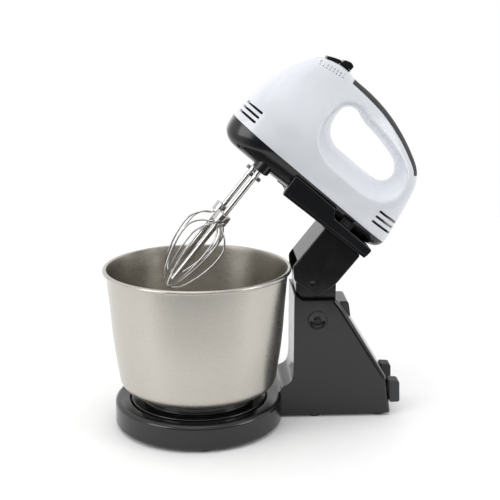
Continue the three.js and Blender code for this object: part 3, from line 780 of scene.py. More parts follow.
@dataclass
class Stand(SubAssembly):
    """Base disc, concave foot and sloping tower in one black moulding, and what is fixed to it."""

    disc_radius: float = 80.5
    disc_top: float = 26.5
    under: float = 3.2
    recess: float = 66.5
    deck: float = 14.0
    wall: float = 2.6
    near: float = -3.0
    far: float = 59.0
    front: float = 92.0
    top: float = 118.8
    lip: float = 124.2
    slope_edge: float = 5.0
    cap: Point = (114.5, 99.8)
    cap_radius: float = 9.4
    button_half: float = 18.6
    rest_inset: float = 7.5
    gap: float = 0.35

    @property
    def middle(self) -> float:
        """The plane through the middle of tower, arm and mixer."""
        return (self.near + self.far) / 2

    def slope_outline(self) -> Outline:
        """Side outline of the tower's back, with room to spare in front, above and below."""
        return rounded([
            (20, self.under - 8), (188.4, self.under - 8), (188.4, self.under), (184, 38, 6),
            (137.8, 113.8, 4), (133.5, self.top), (133.5, self.top + 16), (20, self.top + 16),
        ])

    def front_outline(self) -> Outline:
        """Side outline of the tower's front, its top and the concave foot, with room to spare behind."""
        rise = spline([(92, 54), (91.5, 44), (89.6, 37.6), (86, 34.5), (81.6, 32.2), (79, 28), (74.5, 24.9),
                       (68, 24.3)], steps=5)
        top = rounded([(220, self.under), (220, self.top), (99.5, self.top, 4), (94, self.lip, 1.5),
                       (self.front, self.lip, 0.8), (self.front, 60)])
        return [*top, *[tuple(p) for p in rise], (30, 24.3), (30, self.under)]

    def shell(self) -> bpy.types.Object:
        """The moulding, hollow and open underneath."""
        radius, top, recess = self.disc_radius, self.disc_top, self.recess
        shoulder = arc(radius - 4.5, top - 4.5, 4.5, 0, 90, 12)
        shell = turned("stand_moulding", [
            (0, self.under), (radius - 1, self.under), (radius, self.under + 1.5), *shoulder,
            (recess + 1.6, top - 0.9), (recess + 0.4, top - 1.6), (recess, top - 3), (0, top - 3),
        ], 160)
        tower = prism("tower", self.slope_outline(), self.near, self.far, self.slope_edge)
        fit(tower, Joinery.KEEP, prism("front", self.front_outline(), self.near - 5, self.far + 5))
        fit(shell, Joinery.JOIN, tower)
        well = turned("well", [(0, self.deck), (recess, self.deck), (recess, 60), (0, 60)], 160)
        inner = turned("disc_hollow", [
            (0, 0), (radius - self.wall, 0), (radius - self.wall - 0.8, top - 6), (radius - 6, top - 3.2),
            (recess + self.wall, top - 4.2), (recess + self.wall, self.deck - self.wall),
            (0, self.deck - self.wall),
        ], 80)
        hollow = prism("tower_hollow", rounded([
            (self.front + self.wall, 0), (185, 0), (181, 37, 5), (135.6, 110.6, 4), (131.5, self.top - 3),
            (self.front + self.wall, self.top - 3),
        ]), self.near + self.wall, self.far - self.wall, 1)
        tunnel = slab("foot_hollow", (50, self.front + 6), (self.near + self.wall, self.far - self.wall),
                      (0, self.deck - self.wall), 0, 0)
        fit(shell, Joinery.CUT, well, inner, hollow, tunnel)
        hub = rod("hub", (0, 0, 5.8), (0, 0, self.deck + 0.5), 9)
        x, z = self.cap
        bosses = [rod("boss", (x, a, z), (x, b, z), self.cap_radius + 2.4)
                  for a, b in ((self.near + 1, 5.6), (self.far - 5.6, self.far - 1))]
        fit(shell, Joinery.JOIN, hub, *bosses)
        middle, slot = self.middle, self.button_half + 2 * self.gap
        seats = [rod("cap_seat", (x, a, z), (x, b, z), self.cap_radius, 64)
                 for a, b in ((self.near - 2, self.near + 2.6), (self.far - 2.6, self.far + 2))]
        rests = [slab("rest_slot", (150, 200), (y - 3.1, y + 3.1), (18, 32), 0, 0) for y in self.rest_places()]
        return fit(
            shell, Joinery.CUT,
            rod("hub_bore", (0, 0, 0), (0, 0, 40), 4 + self.gap), *seats,
            rod("screw_hole", (x, self.near - 2, z), (x, self.far + 2, z), 2 + self.gap),
            slab("neck_socket", (96.6, 130.6), (middle - 22.4, middle + 22.4), (80, self.top + 8), 0, 0),
            slab("button_slot", (131, 160), (middle - slot, middle + slot), (98.4, 115.1), 1, 0), *rests,
        )

    def rest_places(self) -> Point:
        """The planes through the middles of the two rear rests."""
        return (self.near + self.rest_inset, self.far - self.rest_inset)

    def cap_and_screw(self, side: str, face: float, turn: int) -> None:
        """The dished cap and its cross-head screw on one side of the tower.

        Args:
            side: near or far.
            face: the tower's face on that side.
            turn: 1 where the cap goes in along +Y, -1 along -Y.
        """
        x, z = self.cap
        edge = self.cap_radius - self.gap
        facing = Matrix.Rotation(-math.pi / 2 * turn, 4, "X")
        dish = turned(f"tower_cap_{side}", [
            (3.3, 0.6), (5.2, 0.6), (6.2, 0.2), (7.4, -0.5), *arc(edge - 0.7, 0.1, 0.7, 270, 360, 5),
            (edge, 1.6), (3.3, 1.6),
        ], 72)
        head = turned(f"tower_screw_{side}", [
            (0, -2), (1.5, -1.95), (2.4, -1.6), (2.9, -0.9), (2.9, 0), (1.9, 0), (1.9, 13.2),
            (1.1, 14), (0, 14),
        ], 40)
        long, short = (-1.9, 1.9), (-0.35, 0.35)
        for a, b in ((long, short), (short, long)):
            fit(head, Joinery.CUT, slab("cross", a, b, (-3, -1.1), 0, 0))
        for piece, sunk, node in ((dish, 0.1, "side_cap"), (head, 1.6, "side_screw")):
            place = Matrix.Translation(Vector((x, face + sunk * turn, z)) * MM) @ facing
            self.dress(piece, self.cad.bowl_frame() @ place, self.finishes.gloss_black, f"{node}_{side}")

    def neck(self) -> bpy.types.Object:
        """The pedestal between the arm's cheeks, with its plug into the tower."""
        pivot = self.cad.pivot("head_tilt")
        px, pz = (pivot - self.cad.pivot("turntable_spin")).x / MM, pivot.z / MM
        seat, x0, x1 = self.top + self.gap, 94.0, 132.7
        head = prism("neck_pedestal", rounded([
            (x0, seat + 6.4), (x0 + 7.4, seat, 3), (x1, seat), (x1, pz + 8.4, 8), (px - 8, pz + 9.6, 6),
            (x0 + 6, pz - 5, 5), (x0, pz - 7.6, 1.5),
        ]), self.middle - 23.7, self.middle + 23.7, 0.8)
        plug = slab("neck_plug", (97, 130.2), (self.middle - 22, self.middle + 22), (84, self.top + 4), 0, 0)
        fit(head, Joinery.JOIN, plug)
        x, z = self.cap
        return fit(head, Joinery.CUT,
                   rod("pin_bore", (px, self.middle - 30, pz), (px, self.middle + 30, pz), 4 + self.gap),
                   rod("screw_hole", (x, self.middle - 30, z), (x, self.middle + 30, z), 2 + self.gap),
                   slab("bolt_pocket", (119, 133.4), (self.middle - 15, self.middle + 15), (97, 107.4), 0, 0))

    def build(self) -> None:
        """Makes the stand's visible pieces."""
        place, black = self.cad.bowl_frame(), self.finishes.gloss_black
        self.dress(self.shell(), place, black, "stand_shell", 0.25)
        self.dress(self.neck(), place, black, "neck_block", 0.25)
        self.cap_and_screw("near", self.near, 1)
        self.cap_and_screw("far", self.far, -1)
        button = prism("tilt_release", rounded([
            (135, 99, 2), (148.4, 99, 2), (146, 114.4, 3), (135, 114.4, 2),
        ]), self.middle - self.button_half, self.middle + self.button_half, 1.1)
        bolt = slab("bolt", (125, 136), (self.middle - 4, self.middle + 4), (102, 106), 0.4, 0.2)
        self.dress(fit(button, Joinery.JOIN, bolt), place, black, "tilt_release_button")
        for side, y in zip(("near", "far"), self.rest_places()):
            rest = prism(f"wall_rest_{side}", rounded([
                (187.2, 13.8, 1.6), (197.2, 13.8, 3), (196.4, 36, 3.4), (185.4, 36.6, 2),
            ]), y - 7, y + 7, 1.4)
            fit(rest, Joinery.JOIN, slab("stub", (180, 190), (y - 2.6, y + 2.6), (19, 31), 0, 0))
            self.dress(rest, place, self.finishes.rubber, f"rear_rest_{side}")
        for i in range(1, 10):
            low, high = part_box(f"foot_{i}")
            foot = turned(f"rubber_foot_{i}", [
                (0, 0), (5, 0), *arc(5.4, 1, 1, 270, 360, 5), (6.4, self.under), (4, self.under),
                (4, 6.4), (0, 6.4),
            ], 48)
            middle = Matrix.Translation(((low.x + high.x) / 2, (low.y + high.y) / 2, 0))
            self.dress(foot, middle, self.finishes.rubber, f"foot_{i}")


# ------------------------------------------------------------------ turntable and bowl


@dataclass
class BowlSet(SubAssembly):
    """Free-turning table and the spun steel bowl that stands on it."""

    rim: float = 89.0
    top: float = 154.6
    floor: float = 36.0
    wall: float = 0.8
    corner: float = 14.0
    foot: float = 47.0
    gap: float = 0.35

    def bowl_profile(self) -> Outline:
        """Half section of the bowl, up the outside and down the inside."""
        side = spline([(75.5, 48.9), (76, 51), (80.5, 86), (83.3, 122), (85.6, self.top - 4.6)], steps=10)[10:]
        bend = arc(61.5, self.floor + self.corner, self.corner, -90, -6, 14)
        outer = [*bend, *[tuple(p) for p in side]]
        bead = arc(self.rim - 2, self.top - 2, 2, -128, 150, 16)
        inner_bend = arc(61.5, self.floor + self.corner, self.corner - self.wall, -6, -90, 14)
        inner = [(r - self.wall, z) for r, z in reversed([tuple(p) for p in side])]
        return [(0, self.floor), *outer, *bead, *inner, *inner_bend, (0, self.floor + self.wall)]

    def build(self) -> None:
        """Makes the turntable, the bowl and the ring under it."""
        place, black = self.cad.bowl_frame(), self.finishes.gloss_black
        top = self.floor - self.gap
        table = turned("turntable_disc", [
            (4 + self.gap, 14.9), (10, 14.9), (12, 21.5), (61, 21.5), (61, 17.6), (64.8, 17.6),
            *arc(63.6, 25.2, 1.2, 0, 90, 5), *arc(55.4, 27.6, 1.2, 270, 180, 5),
            *arc(52, top - 1.2, 1.2, 0, 90, 5), (49, top), (48.2, 27.6), (14, 27.6), (4 + self.gap, 30.6),
        ], 144)
        self.dress(table, place, black, "turntable")
        self.dress(turned("spun_bowl", self.bowl_profile(), 192), place, self.finishes.bowl, "bowl", angle=50)
        foot = self.foot
        ring = turned("bowl_ring", [
            (foot - 5, 31.4), (foot - 0.6, 31.4), (foot, 32), (foot, top), (foot - 5, top),
        ], 144)
        self.dress(ring, place, black, "bowl_foot_ring")


# ------------------------------------------------------------------ arm and cradle


@dataclass
class Arm(SubAssembly):
    """Hollow arm that straddles the neck, and the tray on it that holds the mixer."""

    body: "MixerBody"
    front: float = -30.0
    rear: float = 14.0
    top: float = 35.0
    half: float = 27.0
    bottom: float = -23.3
    tray_front: float = -85.2
    tray_rear: float = 16.5
    tray_bottom: float = 36.0
    tray_half: float = 39.5
    wall: float = 2.6
    cheek_wall: float = 2.9
    gap: float = 0.35

    def bolt_holes(self, bottom: float, top: float) -> list[bpy.types.Object]:
        """Holes for the two screws that hold the tray on the arm, between two heights."""
        return [rod("bolt_hole", (x, 0, bottom), (x, 0, top), 2.1) for x in (-20, 4)]

    def shell(self) -> bpy.types.Object:
        """Two cheeks joined by a front wall, a back wall and a deck."""
        cheek = self.half - self.cheek_wall
        arm = prism("arm_moulding", rounded([
            (self.front, self.top, 3), (self.front, -13.1, 3), (-20.3, self.bottom, 3), (9, self.bottom, 6),
            (13.6, -0.5, 3), (self.rear, self.top, 3),
        ]), -self.half, self.half, 1.3)
        plan = slab("arm_plan", (self.front, self.rear + 30), (-self.half, self.half),
                    (self.bottom - 5, self.top + 5), 7, 0)
        fit(arm, Joinery.KEEP, plan)
        return fit(
            arm, Joinery.CUT,
            slab("inside", (self.front + self.wall, self.rear - self.wall), (-cheek, cheek),
                 (self.bottom - 8, self.top - 3), 0, 0),
            slab("front_mouth", (self.front - 5, self.front + 8), (-cheek, cheek),
                 (self.bottom - 8, -6.3), 0, 0),
            slab("rear_mouth", (self.rear - 8, self.rear + 5), (-cheek, cheek), (self.bottom - 8, 6), 0, 0),
            rod("pin_bore", (0, -25.9, 0), (0, 25.9, 0), 4 + self.gap),
            rod("side_dimple", (-4.7, -30, -14.6), (-4.7, 0.5 - self.half, -14.6), 2.6),
            *self.bolt_holes(20, 40),
        )

    def tray(self) -> bpy.types.Object:
        """The tray: tall side walls in front, low ones behind, and open ends."""
        tray = prism("cradle_moulding", rounded([
            (self.tray_front + 1, self.tray_bottom + 1, 3), (self.tray_front, 57.8, 3), (-35.6, 55.9, 4),
            (-32.8, 48.3, 4), (self.tray_rear - 0.4, 46.6, 3), (self.tray_rear - 1.4, self.tray_bottom, 4),
        ]), -self.tray_half, self.tray_half, 1.1)
        rail = rounded([(self.tray_front + 1.6, 36.2, 0.8), (self.tray_front + 1.4, 39.6, 0.8),
                        (self.tray_rear - 2.2, 39.4, 0.8), (self.tray_rear - 2, 36.2, 0.8)])
        fit(tray, Joinery.JOIN, prism("base_rail", rail, -self.tray_half - 0.6, self.tray_half + 0.6, 0.5))
        return fit(
            tray, Joinery.CUT,
            self.body.pillow("hollow_for_mixer", -0.7),
            slab("front_gate", (-142, self.tray_front + 8), (-33, 33), (30, 60), 0, 0),
            slab("tab_slot", (-25.3, -12.7), (0.8 - self.tray_half, -33), (40.4, 60), 0, 0),
            *self.bolt_holes(30, self.tray_bottom + 3),
        )

    def build(self) -> None:
        """Makes the arm, the tray and its release tab."""
        place, black = self.cad.head_frame(), self.finishes.gloss_black
        self.dress(self.shell(), place, black, "arm_shell", 0.2)
        self.dress(self.tray(), place, black, "cradle", 0.2)
        tab = slab("release_tab", (-25, -13), (1 - self.tray_half, -37), (41, 54.6), 0.4, 0.25)
        face = 0.7 - self.tray_half
        for z in (50.4, 52.6):
            fit(tab, Joinery.CUT, rod("tab_groove", (-22, face, z), (-16, face, z), 0.6, 16))
        self.dress(tab, place, self.finishes.charcoal, "mixer_release_tab")


# ------------------------------------------------------------------ mixer body


@dataclass
class MixerBody(SubAssembly):
    """The hand mixer's two shells, soft grip, selector and printed scale, in the head's own frame."""

    half: float = 41.0
    wall: float = 2.4
    centre: Point = (-66.0, 95.0)
    power: float = 3.4
    selector: Point = (-107.0, 111.0)
    selector_radius: float = 50.8
    spindle: Point = (-112.0, 23.0)
    spindle_radius: float = 5.2
    gap: float = 0.35
    # Reach along the body, heights, and how deep each slot goes towards the middle.
    nose_vents: tuple[Point, Point3, float] = ((-170, -143.5), (71.6, 76.8, 82), 11)
    back_vents: tuple[Point, Point3, float] = ((-2.4, 34), (68.2, 73.8, 79.4), 13)
    crown: tuple[Point, ...] = ((-72.9, 158.6), (-50, 155.4), (-27.9, 149), (-7.9, 140.4), (8, 130.6))
    hole_edge: tuple[Point, ...] = (
        (-83.5, 134), (-85.4, 122), (-81, 109), (-69, 100.6), (-50, 99.2), (-25, 98.6), (-9.6, 101.5),
        (-4, 111), (-11, 121.8), (-33, 129.6), (-60, 134.2), (-74, 138.6),
    )
    polar: tuple[np.ndarray, np.ndarray] = field(init=False)

    def __post_init__(self) -> None:
        """Works out the body's reach from its centre in every direction."""
        away = self.outline() - np.array(self.centre)
        angle = np.arctan2(away[:, 1], away[:, 0])
        order = np.argsort(angle)
        self.polar = (angle[order], np.linalg.norm(away, axis=1)[order])

    def outline(self, inset: float = 0, steps: int = 8) -> np.ndarray:
        """Side outline of both shells together.

        Args:
            inset: how far inwards it is moved.
            steps: samples on each span.

        Returns:
            The points, going up the nose and over the handle.
        """
        x, z = self.selector
        over_nose = arc(x, z, self.selector_radius - 0.5, 112, 74, 4)
        line = spline([
            (-160.4, 58), (-160.6, 74), (-159, 92), (-154.8, 112), (-147.6, 131), (-137.5, 147.6), *over_nose,
            *self.crown, (16, 119), (20.5, 100), (24.6, 74), (27, 58), (22.6, 49.4), (8, 45.2),
            (-25, 42.4), (-80, 41.2), (-134, 41), (-150, 42.6), (-157.6, 48),
        ], closed=True, steps=steps)
        return self.offset(line, inset)

    def offset(self, line: np.ndarray, inward: np.ndarray | float) -> np.ndarray:
        """Moves a closed line that runs clockwise inwards by a distance."""
        along = np.roll(line, -1, axis=0) - np.roll(line, 1, axis=0)
        along /= np.linalg.norm(along, axis=1)[:, None]
        return line + np.stack([along[:, 1], -along[:, 0]], axis=1) * inward

    def slimming(self, x: np.ndarray, z: np.ndarray) -> np.ndarray:
        """How much narrower the body is at a place: full below, slim at the handle and the nose."""
        return (1 - 0.52 * smoothstep(z, 84, 158)) * (0.86 + 0.14 * smoothstep(x, -172, -120))

    def half_width(self, x: np.ndarray, z: np.ndarray) -> np.ndarray:
        """How far the outside of the shells is from the middle plane at a place in side view.

        Args:
            x, z: the place.

        Returns:
            The distance, 0 outside the outline.
        """
        dx, dz = np.asarray(x) - self.centre[0], np.asarray(z) - self.centre[1]
        reach = np.interp(np.arctan2(dz, dx), *self.polar, period=2 * math.pi)
        share = np.clip(np.hypot(dx, dz) / reach, 0, 1)
        return self.half * (1 - share**self.power) ** (1 / self.power) * self.slimming(x, z)

    def pillow(self, name: str, inset: float = 0, lateral: int = 40) -> bpy.types.Object:
        """A body with rounded flanks: the outline drawn in towards its centre as it goes outwards.

        Args:
            name: its name.
            inset: how far inside the true surface it lies.
            lateral: rings on each flank.

        Returns:
            The object.
        """
        line, centre = self.outline(inset), np.array(self.centre)
        middle = np.arccos(np.linspace(0.04, 0.86, lateral // 2) ** (self.power / 2))
        bend = np.linspace(math.acos(0.86 ** (self.power / 2)), 0, lateral // 2 + 1)[1:]
        angles = np.concatenate([middle, bend])
        angles = np.concatenate([-angles, angles[::-1][1:]])
        rings = []
        for angle in angles:
            flat = centre + (line - centre) * math.cos(angle) ** (2 / self.power)
            out = math.copysign(abs(math.sin(angle)) ** (2 / self.power), angle) * (self.half - inset)
            x, z = flat[:, 0], flat[:, 1]
            rings.append(np.stack([x, out * self.slimming(x, z), z], axis=1))
        around = len(line)
        flank = (self.half - inset) * float(self.slimming(*self.centre))
        points = np.vstack([*rings, [[centre[0], -flank, centre[1]], [centre[0], flank, centre[1]]]])
        faces = rings_to_faces(len(rings), around)
        near, far, last = len(points) - 2, len(points) - 1, (len(rings) - 1) * around
        faces += [(near, (j + 1) % around, j) for j in range(around)]
        faces += [(far, last + j, last + (j + 1) % around) for j in range(around)]
        return outward(mesh_piece(name, points, faces))

    def finger_hole(self, name: str, grow: float = 0) -> bpy.types.Object:
        """The finger hole: narrowest in the middle and flaring to both flanks.

        Args:
            name: its name.
            grow: how much wider than the true hole it is.

        Returns:
            A solid of the hole.
        """
        line = spline(self.hole_edge, closed=True, steps=8)
        rings = []
        for y in np.concatenate([[-46], np.linspace(-42, 42, 29), [46]]):
            edge = self.offset(line, grow + 13 * (abs(y) / 36) ** 2)
            rings.append(np.stack([edge[:, 0], np.full(len(edge), y), edge[:, 1]], axis=1))
        around = len(line)
        faces = rings_to_faces(len(rings), around)
        faces.append(tuple(range(around)))
        faces.append(tuple(range((len(rings) - 1) * around, len(rings) * around)))
        return outward(mesh_piece(name, np.vstack(rings), faces))

    def above_parting(self, lift: float) -> bpy.types.Object:
        """Everything above the parting line, raised by a distance."""
        block = slab("above", (-134, 126), (-60, 60), (0, 160), 0, 0)
        tilt = Matrix.Rotation(0.034, 4, "Y")
        block.data.transform(Matrix.Translation(Vector((-66, 0, 60.5 + lift)) * MM) @ tilt)
        return block

    def grip_band(self, name: str, depth: float, end: float) -> bpy.types.Object:
        """The band along the handle's crown that the soft grip fills.

        Args:
            name: its name.
            depth: how far below the crown it reaches.
            end: how much longer it is at each end.

        Returns:
            A solid of the band.
        """
        line = spline([(-100, 160.2), *self.crown, (16, 119)], steps=20)
        along = np.gradient(line, axis=0)
        along /= np.linalg.norm(along, axis=1)[:, None]
        normal = np.stack([-along[:, 1], along[:, 0]], axis=1)
        first, last = (int(len(line) * share) for share in (0.055 - end / 130, 0.925 + end / 130))
        floor = (line - normal * depth)[first : last + 1 : 2]
        roof = [line[last] + normal[last] * 14, line[len(line) // 2] + normal[len(line) // 2] * 30,
                line[first] + normal[first] * 14]
        return prism(name, [tuple(p) for p in [*floor, *roof]], -30, 30)

    def sector(self, name: str, radii: Point, angles: Point, half: float) -> bpy.types.Object:
        """A ring sector about the selector's axis.

        Args:
            name: its name.
            radii: inner and outer radius.
            angles: from and to, in degrees from upright, forwards positive.
            half: half its width across.

        Returns:
            The object.
        """
        x, z = self.selector
        outer = arc(x, z, radii[1], 90 + angles[0], 90 + angles[1], 16)
        inner = arc(x, z, radii[0], 90 + angles[1], 90 + angles[0], 16)
        return prism(name, [*outer, *inner], -half, half)

    def vents(self) -> list[bpy.types.Object]:
        """Three slots on each side of the nose and of the back."""
        slots = []
        for side in (-1, 1):
            for x, heights, inner in (self.nose_vents, self.back_vents):
                y = tuple(sorted((side * inner, side * 45)))
                slots += [slab("vent", x, y, (z - 1.15, z + 1.15), 1.1, 0) for z in heights]
        return slots

    def softened(
        self, piece: bpy.types.Object, voxel: float, rounds: int, rim_rounds: int
    ) -> bpy.types.Object:
        """Rounds off a solid: an even mesh all over, then relaxed, most of all round the finger hole.

        Args:
            piece: the solid.
            voxel: spacing of the even mesh.
            rounds: how often everything is relaxed.
            rim_rounds: how often the hole's surroundings are relaxed.

        Returns:
            The same piece.
        """
        remesh = piece.modifiers.new("even", "REMESH")
        remesh.mode = "VOXEL"
        remesh.voxel_size = voxel * MM
        settled(piece)
        places = np.empty(len(piece.data.vertices) * 3, np.float32)
        piece.data.vertices.foreach_get("co", places)
        flat = places.reshape(-1, 3)[:, [0, 2]] / MM
        ring = spline(self.hole_edge, closed=True, steps=6)
        away = np.min(np.linalg.norm(flat[:, None, :] - ring[None, :, :], axis=2), axis=1)
        share = 1 - smoothstep(away, 13, 19)
        group = piece.vertex_groups.new(name="hole_rim")
        for index in np.nonzero(share > 0.01)[0]:
            group.add([int(index)], float(share[index]), "REPLACE")
        for name, times, only in (("skin", rounds, ""), ("rim", rim_rounds, "hole_rim")):
            relax = piece.modifiers.new(name, "SMOOTH")
            relax.iterations = times
            relax.vertex_group = only
        return settled(piece)

    def upper_shell(self) -> bpy.types.Object:
        """White upper shell with the handle, hollow inside."""
        shell = self.pillow("upper_shell", -0.1, 48)
        fit(shell, Joinery.CUT, self.finger_hole("hole"))
        self.softened(shell, 1.2, 6, 26)
        hollow = self.pillow("hollow", self.wall, 20)
        fit(hollow, Joinery.CUT, self.finger_hole("hole_wall", self.wall), self.grip_band("grip_wall", 7.8, 3))
        cutters = [hollow, self.grip_band("grip_seat", 5 + self.gap, 0.4),
                   slab("selector_slot", (-133.4, -100.6), (-2.4, 2.4), (145, 170), 0, 0),
                   rod("cord_hole", (10, 0, 82), (40, 0, 82), 4.4)]
        fit(shell, Joinery.CUT, *cutters, *self.vents())
        return fit(shell, Joinery.KEEP, self.above_parting(self.gap / 2))

    def lower_shell(self) -> bpy.types.Object:
        """Charcoal lower shell with the whisk sockets and the cradle's recesses."""
        shell = self.pillow("lower_shell", 0, 48)
        fit(shell, Joinery.CUT, self.above_parting(-self.gap / 2))
        hollow = self.pillow("hollow", self.wall, 20)
        backing = [slab("backing", (-36, 11), tuple(sorted((side * 31, side * 33))), (46.4, 58), 0, 0)
                   for side in (-1, 1)]
        fit(hollow, Joinery.CUT, *backing)
        x, y = self.spindle
        bosses = [turned("socket_boss", [(0, 38.4), (7.4, 38.4), (8.6, 39.6), (8.6, 50), (0, 50)], 48)
                  for _ in range(2)]
        for boss, side in zip(bosses, (-1, 1)):
            boss.data.transform(Matrix.Translation(Vector((x, side * y, 0)) * MM))
        fit(shell, Joinery.CUT, hollow)
        fit(shell, Joinery.JOIN, *bosses)
        cutters = []
        for side in (-1, 1):
            pocket = rounded([(-34.4, 49.2, 1.4), (-5.6, 49.2, 1.4), (-5.2, 55.2, 1.4), (-33.6, 55.9, 1.4)])
            notch = side * (float(self.half_width(-141, 46)) - 1)
            cutters.append(prism("cradle_pocket", pocket, *sorted((side * 33.4, side * 50))))
            cutters.append(rod("screw_notch", (-141, notch, 40), (-141, notch, 46), 3))
            cutters.append(rod("socket", (x, side * y, 30), (x, side * y, 64), self.spindle_radius + self.gap))
        return fit(shell, Joinery.CUT, *cutters)

    def print_scale(self) -> None:
        """Eight dots and the numbers 0 to 7 beside the selector, printed on the near side."""
        start, end = np.array((-128.6, 149.7)), np.array((-104.5, 153.1))
        marks = []
        for i in range(8):
            spot = start + (end - start) * i / 7
            dot = turned("dot", [(0, 0), (0.55, 0), (0.55, 0.05), (0, 0.05)], 16)
            marks.append(self.printed(dot, spot))
            text = bpy.data.curves.new("number", "FONT")
            text.body, text.size, text.extrude = str(i), 3.4 * MM, 0.02 * MM
            text.align_x = "CENTER"
            number = bpy.data.objects.new("number", text)
            bpy.context.scene.collection.objects.link(number)
            shape = number.evaluated_get(bpy.context.evaluated_depsgraph_get())
            solid = bpy.data.objects.new("number", bpy.data.meshes.new_from_object(shape))
            bpy.context.scene.collection.objects.link(solid)
            bpy.data.objects.remove(number)
            marks.append(self.printed(solid, spot + np.array((-0.2, 1.6))))
        scale = marks[0]
        scale.name = "speed_scale"
        with bpy.context.temp_override(active_object=scale, selected_editable_objects=marks):
            bpy.ops.object.join()
        self.finishes.paint(finished(scale, self.cad.head_frame()), self.finishes.ink)
        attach(scale, self.cad.body["upper_housing"])

    def printed(self, mark: bpy.types.Object, spot: np.ndarray) -> bpy.types.Object:
        """Lays a flat mark on the near flank of the upper shell.

        Args:
            mark: the mark, flat on the XY plane.
            spot: where it goes, in side view.

        Returns:
            The same mark.
        """
        for vertex in mark.data.vertices:
            x, z = spot[0] + vertex.co.x / MM, spot[1] + vertex.co.y / MM
            out = float(self.half_width(x, z)) + 0.06 + vertex.co.z / MM
            vertex.co = Vector((x, -out, z)) * MM
        return mark

    def build(self) -> None:
        """Makes the shells, the grip, the selector and the printed scale."""
        place, charcoal = self.cad.head_frame(), self.finishes.charcoal
        self.dress(self.upper_shell(), place, self.finishes.white, "upper_housing")
        self.dress(self.lower_shell(), place, charcoal, "lower_housing")
        grip = fit(self.pillow("soft_grip", 0, 48), Joinery.KEEP, self.grip_band("grip_shape", 5, 0))
        self.dress(grip, place, self.finishes.rubber, "grip_strip")
        self.dress(self.shutter(), place, charcoal, "speed_shutter")
        self.dress(self.knob(), place, charcoal, "speed_knob")
        self.print_scale()

    def shutter(self) -> bpy.types.Object:
        """The selector's cover over the nose: a low wedge with a hem, on a strip with its stem and keeper."""
        radius = self.selector_radius
        x, z = self.selector
        front, back = 8.2, 22.6
        ridge = []
        for angle in np.linspace(front, back, 10):
            reach = radius + 3.3 - 0.11 * (angle - front)
            turn = math.radians(angle)
            ridge.append((x - reach * math.sin(turn), z + reach * math.cos(turn)))
        under = arc(x, z, radius, 90 + back, 90 + front, 10)
        shutter = prism("selector_cover", [*ridge, *under], -7.5, 7.5, 0.8)
        hem = [*arc(x, z, radius + 1, 98.4, 112, 10), *arc(x, z, radius - 1, 112, 98.4, 10)]
        fit(shutter, Joinery.JOIN, prism("hem", hem, -7.4, -6.4), prism("hem", hem, 6.4, 7.4),
            self.sector("strip", (radius, radius + 0.8), (-6.6, 12), 6),
            self.sector("stem", (radius - 7.4, radius + 0.4), (-6.4, 6.2), 1.9),
            self.sector("keeper", (radius - 8.6, radius - 7), (-7, 8), 5))
        return fit(shutter, Joinery.CUT, self.sector("press_slot", (radius - 6, radius + 2), (-4, 3.8), 3))

    def knob(self) -> bpy.types.Object:
        """The thumb knob on the cover, with the stem that it presses down."""
        radius = self.selector_radius
        knob = prism("speed_thumb_knob", rounded([
            (-112.8, 164, 1.2), (-101.8, 163.9, 1.2), (-101.2, 167.2, 2), (-105.6, 169, 2), (-111.8, 167, 2),
        ]), -7.5, 7.5, 0.6)
        skirt = [(-112.8, 164.6), (-112.8, 162.6), (-101.8, 162.6), (-101.6, 164.6)]
        return fit(knob, Joinery.JOIN, prism("skirt", skirt, -7.4, -6.2), prism("skirt", skirt, 6.2, 7.4),
                   self.sector("press_stem", (radius - 1.8, radius + 4), (-3.6, 3.4), 1.9))


# ------------------------------------------------------------------ whisks


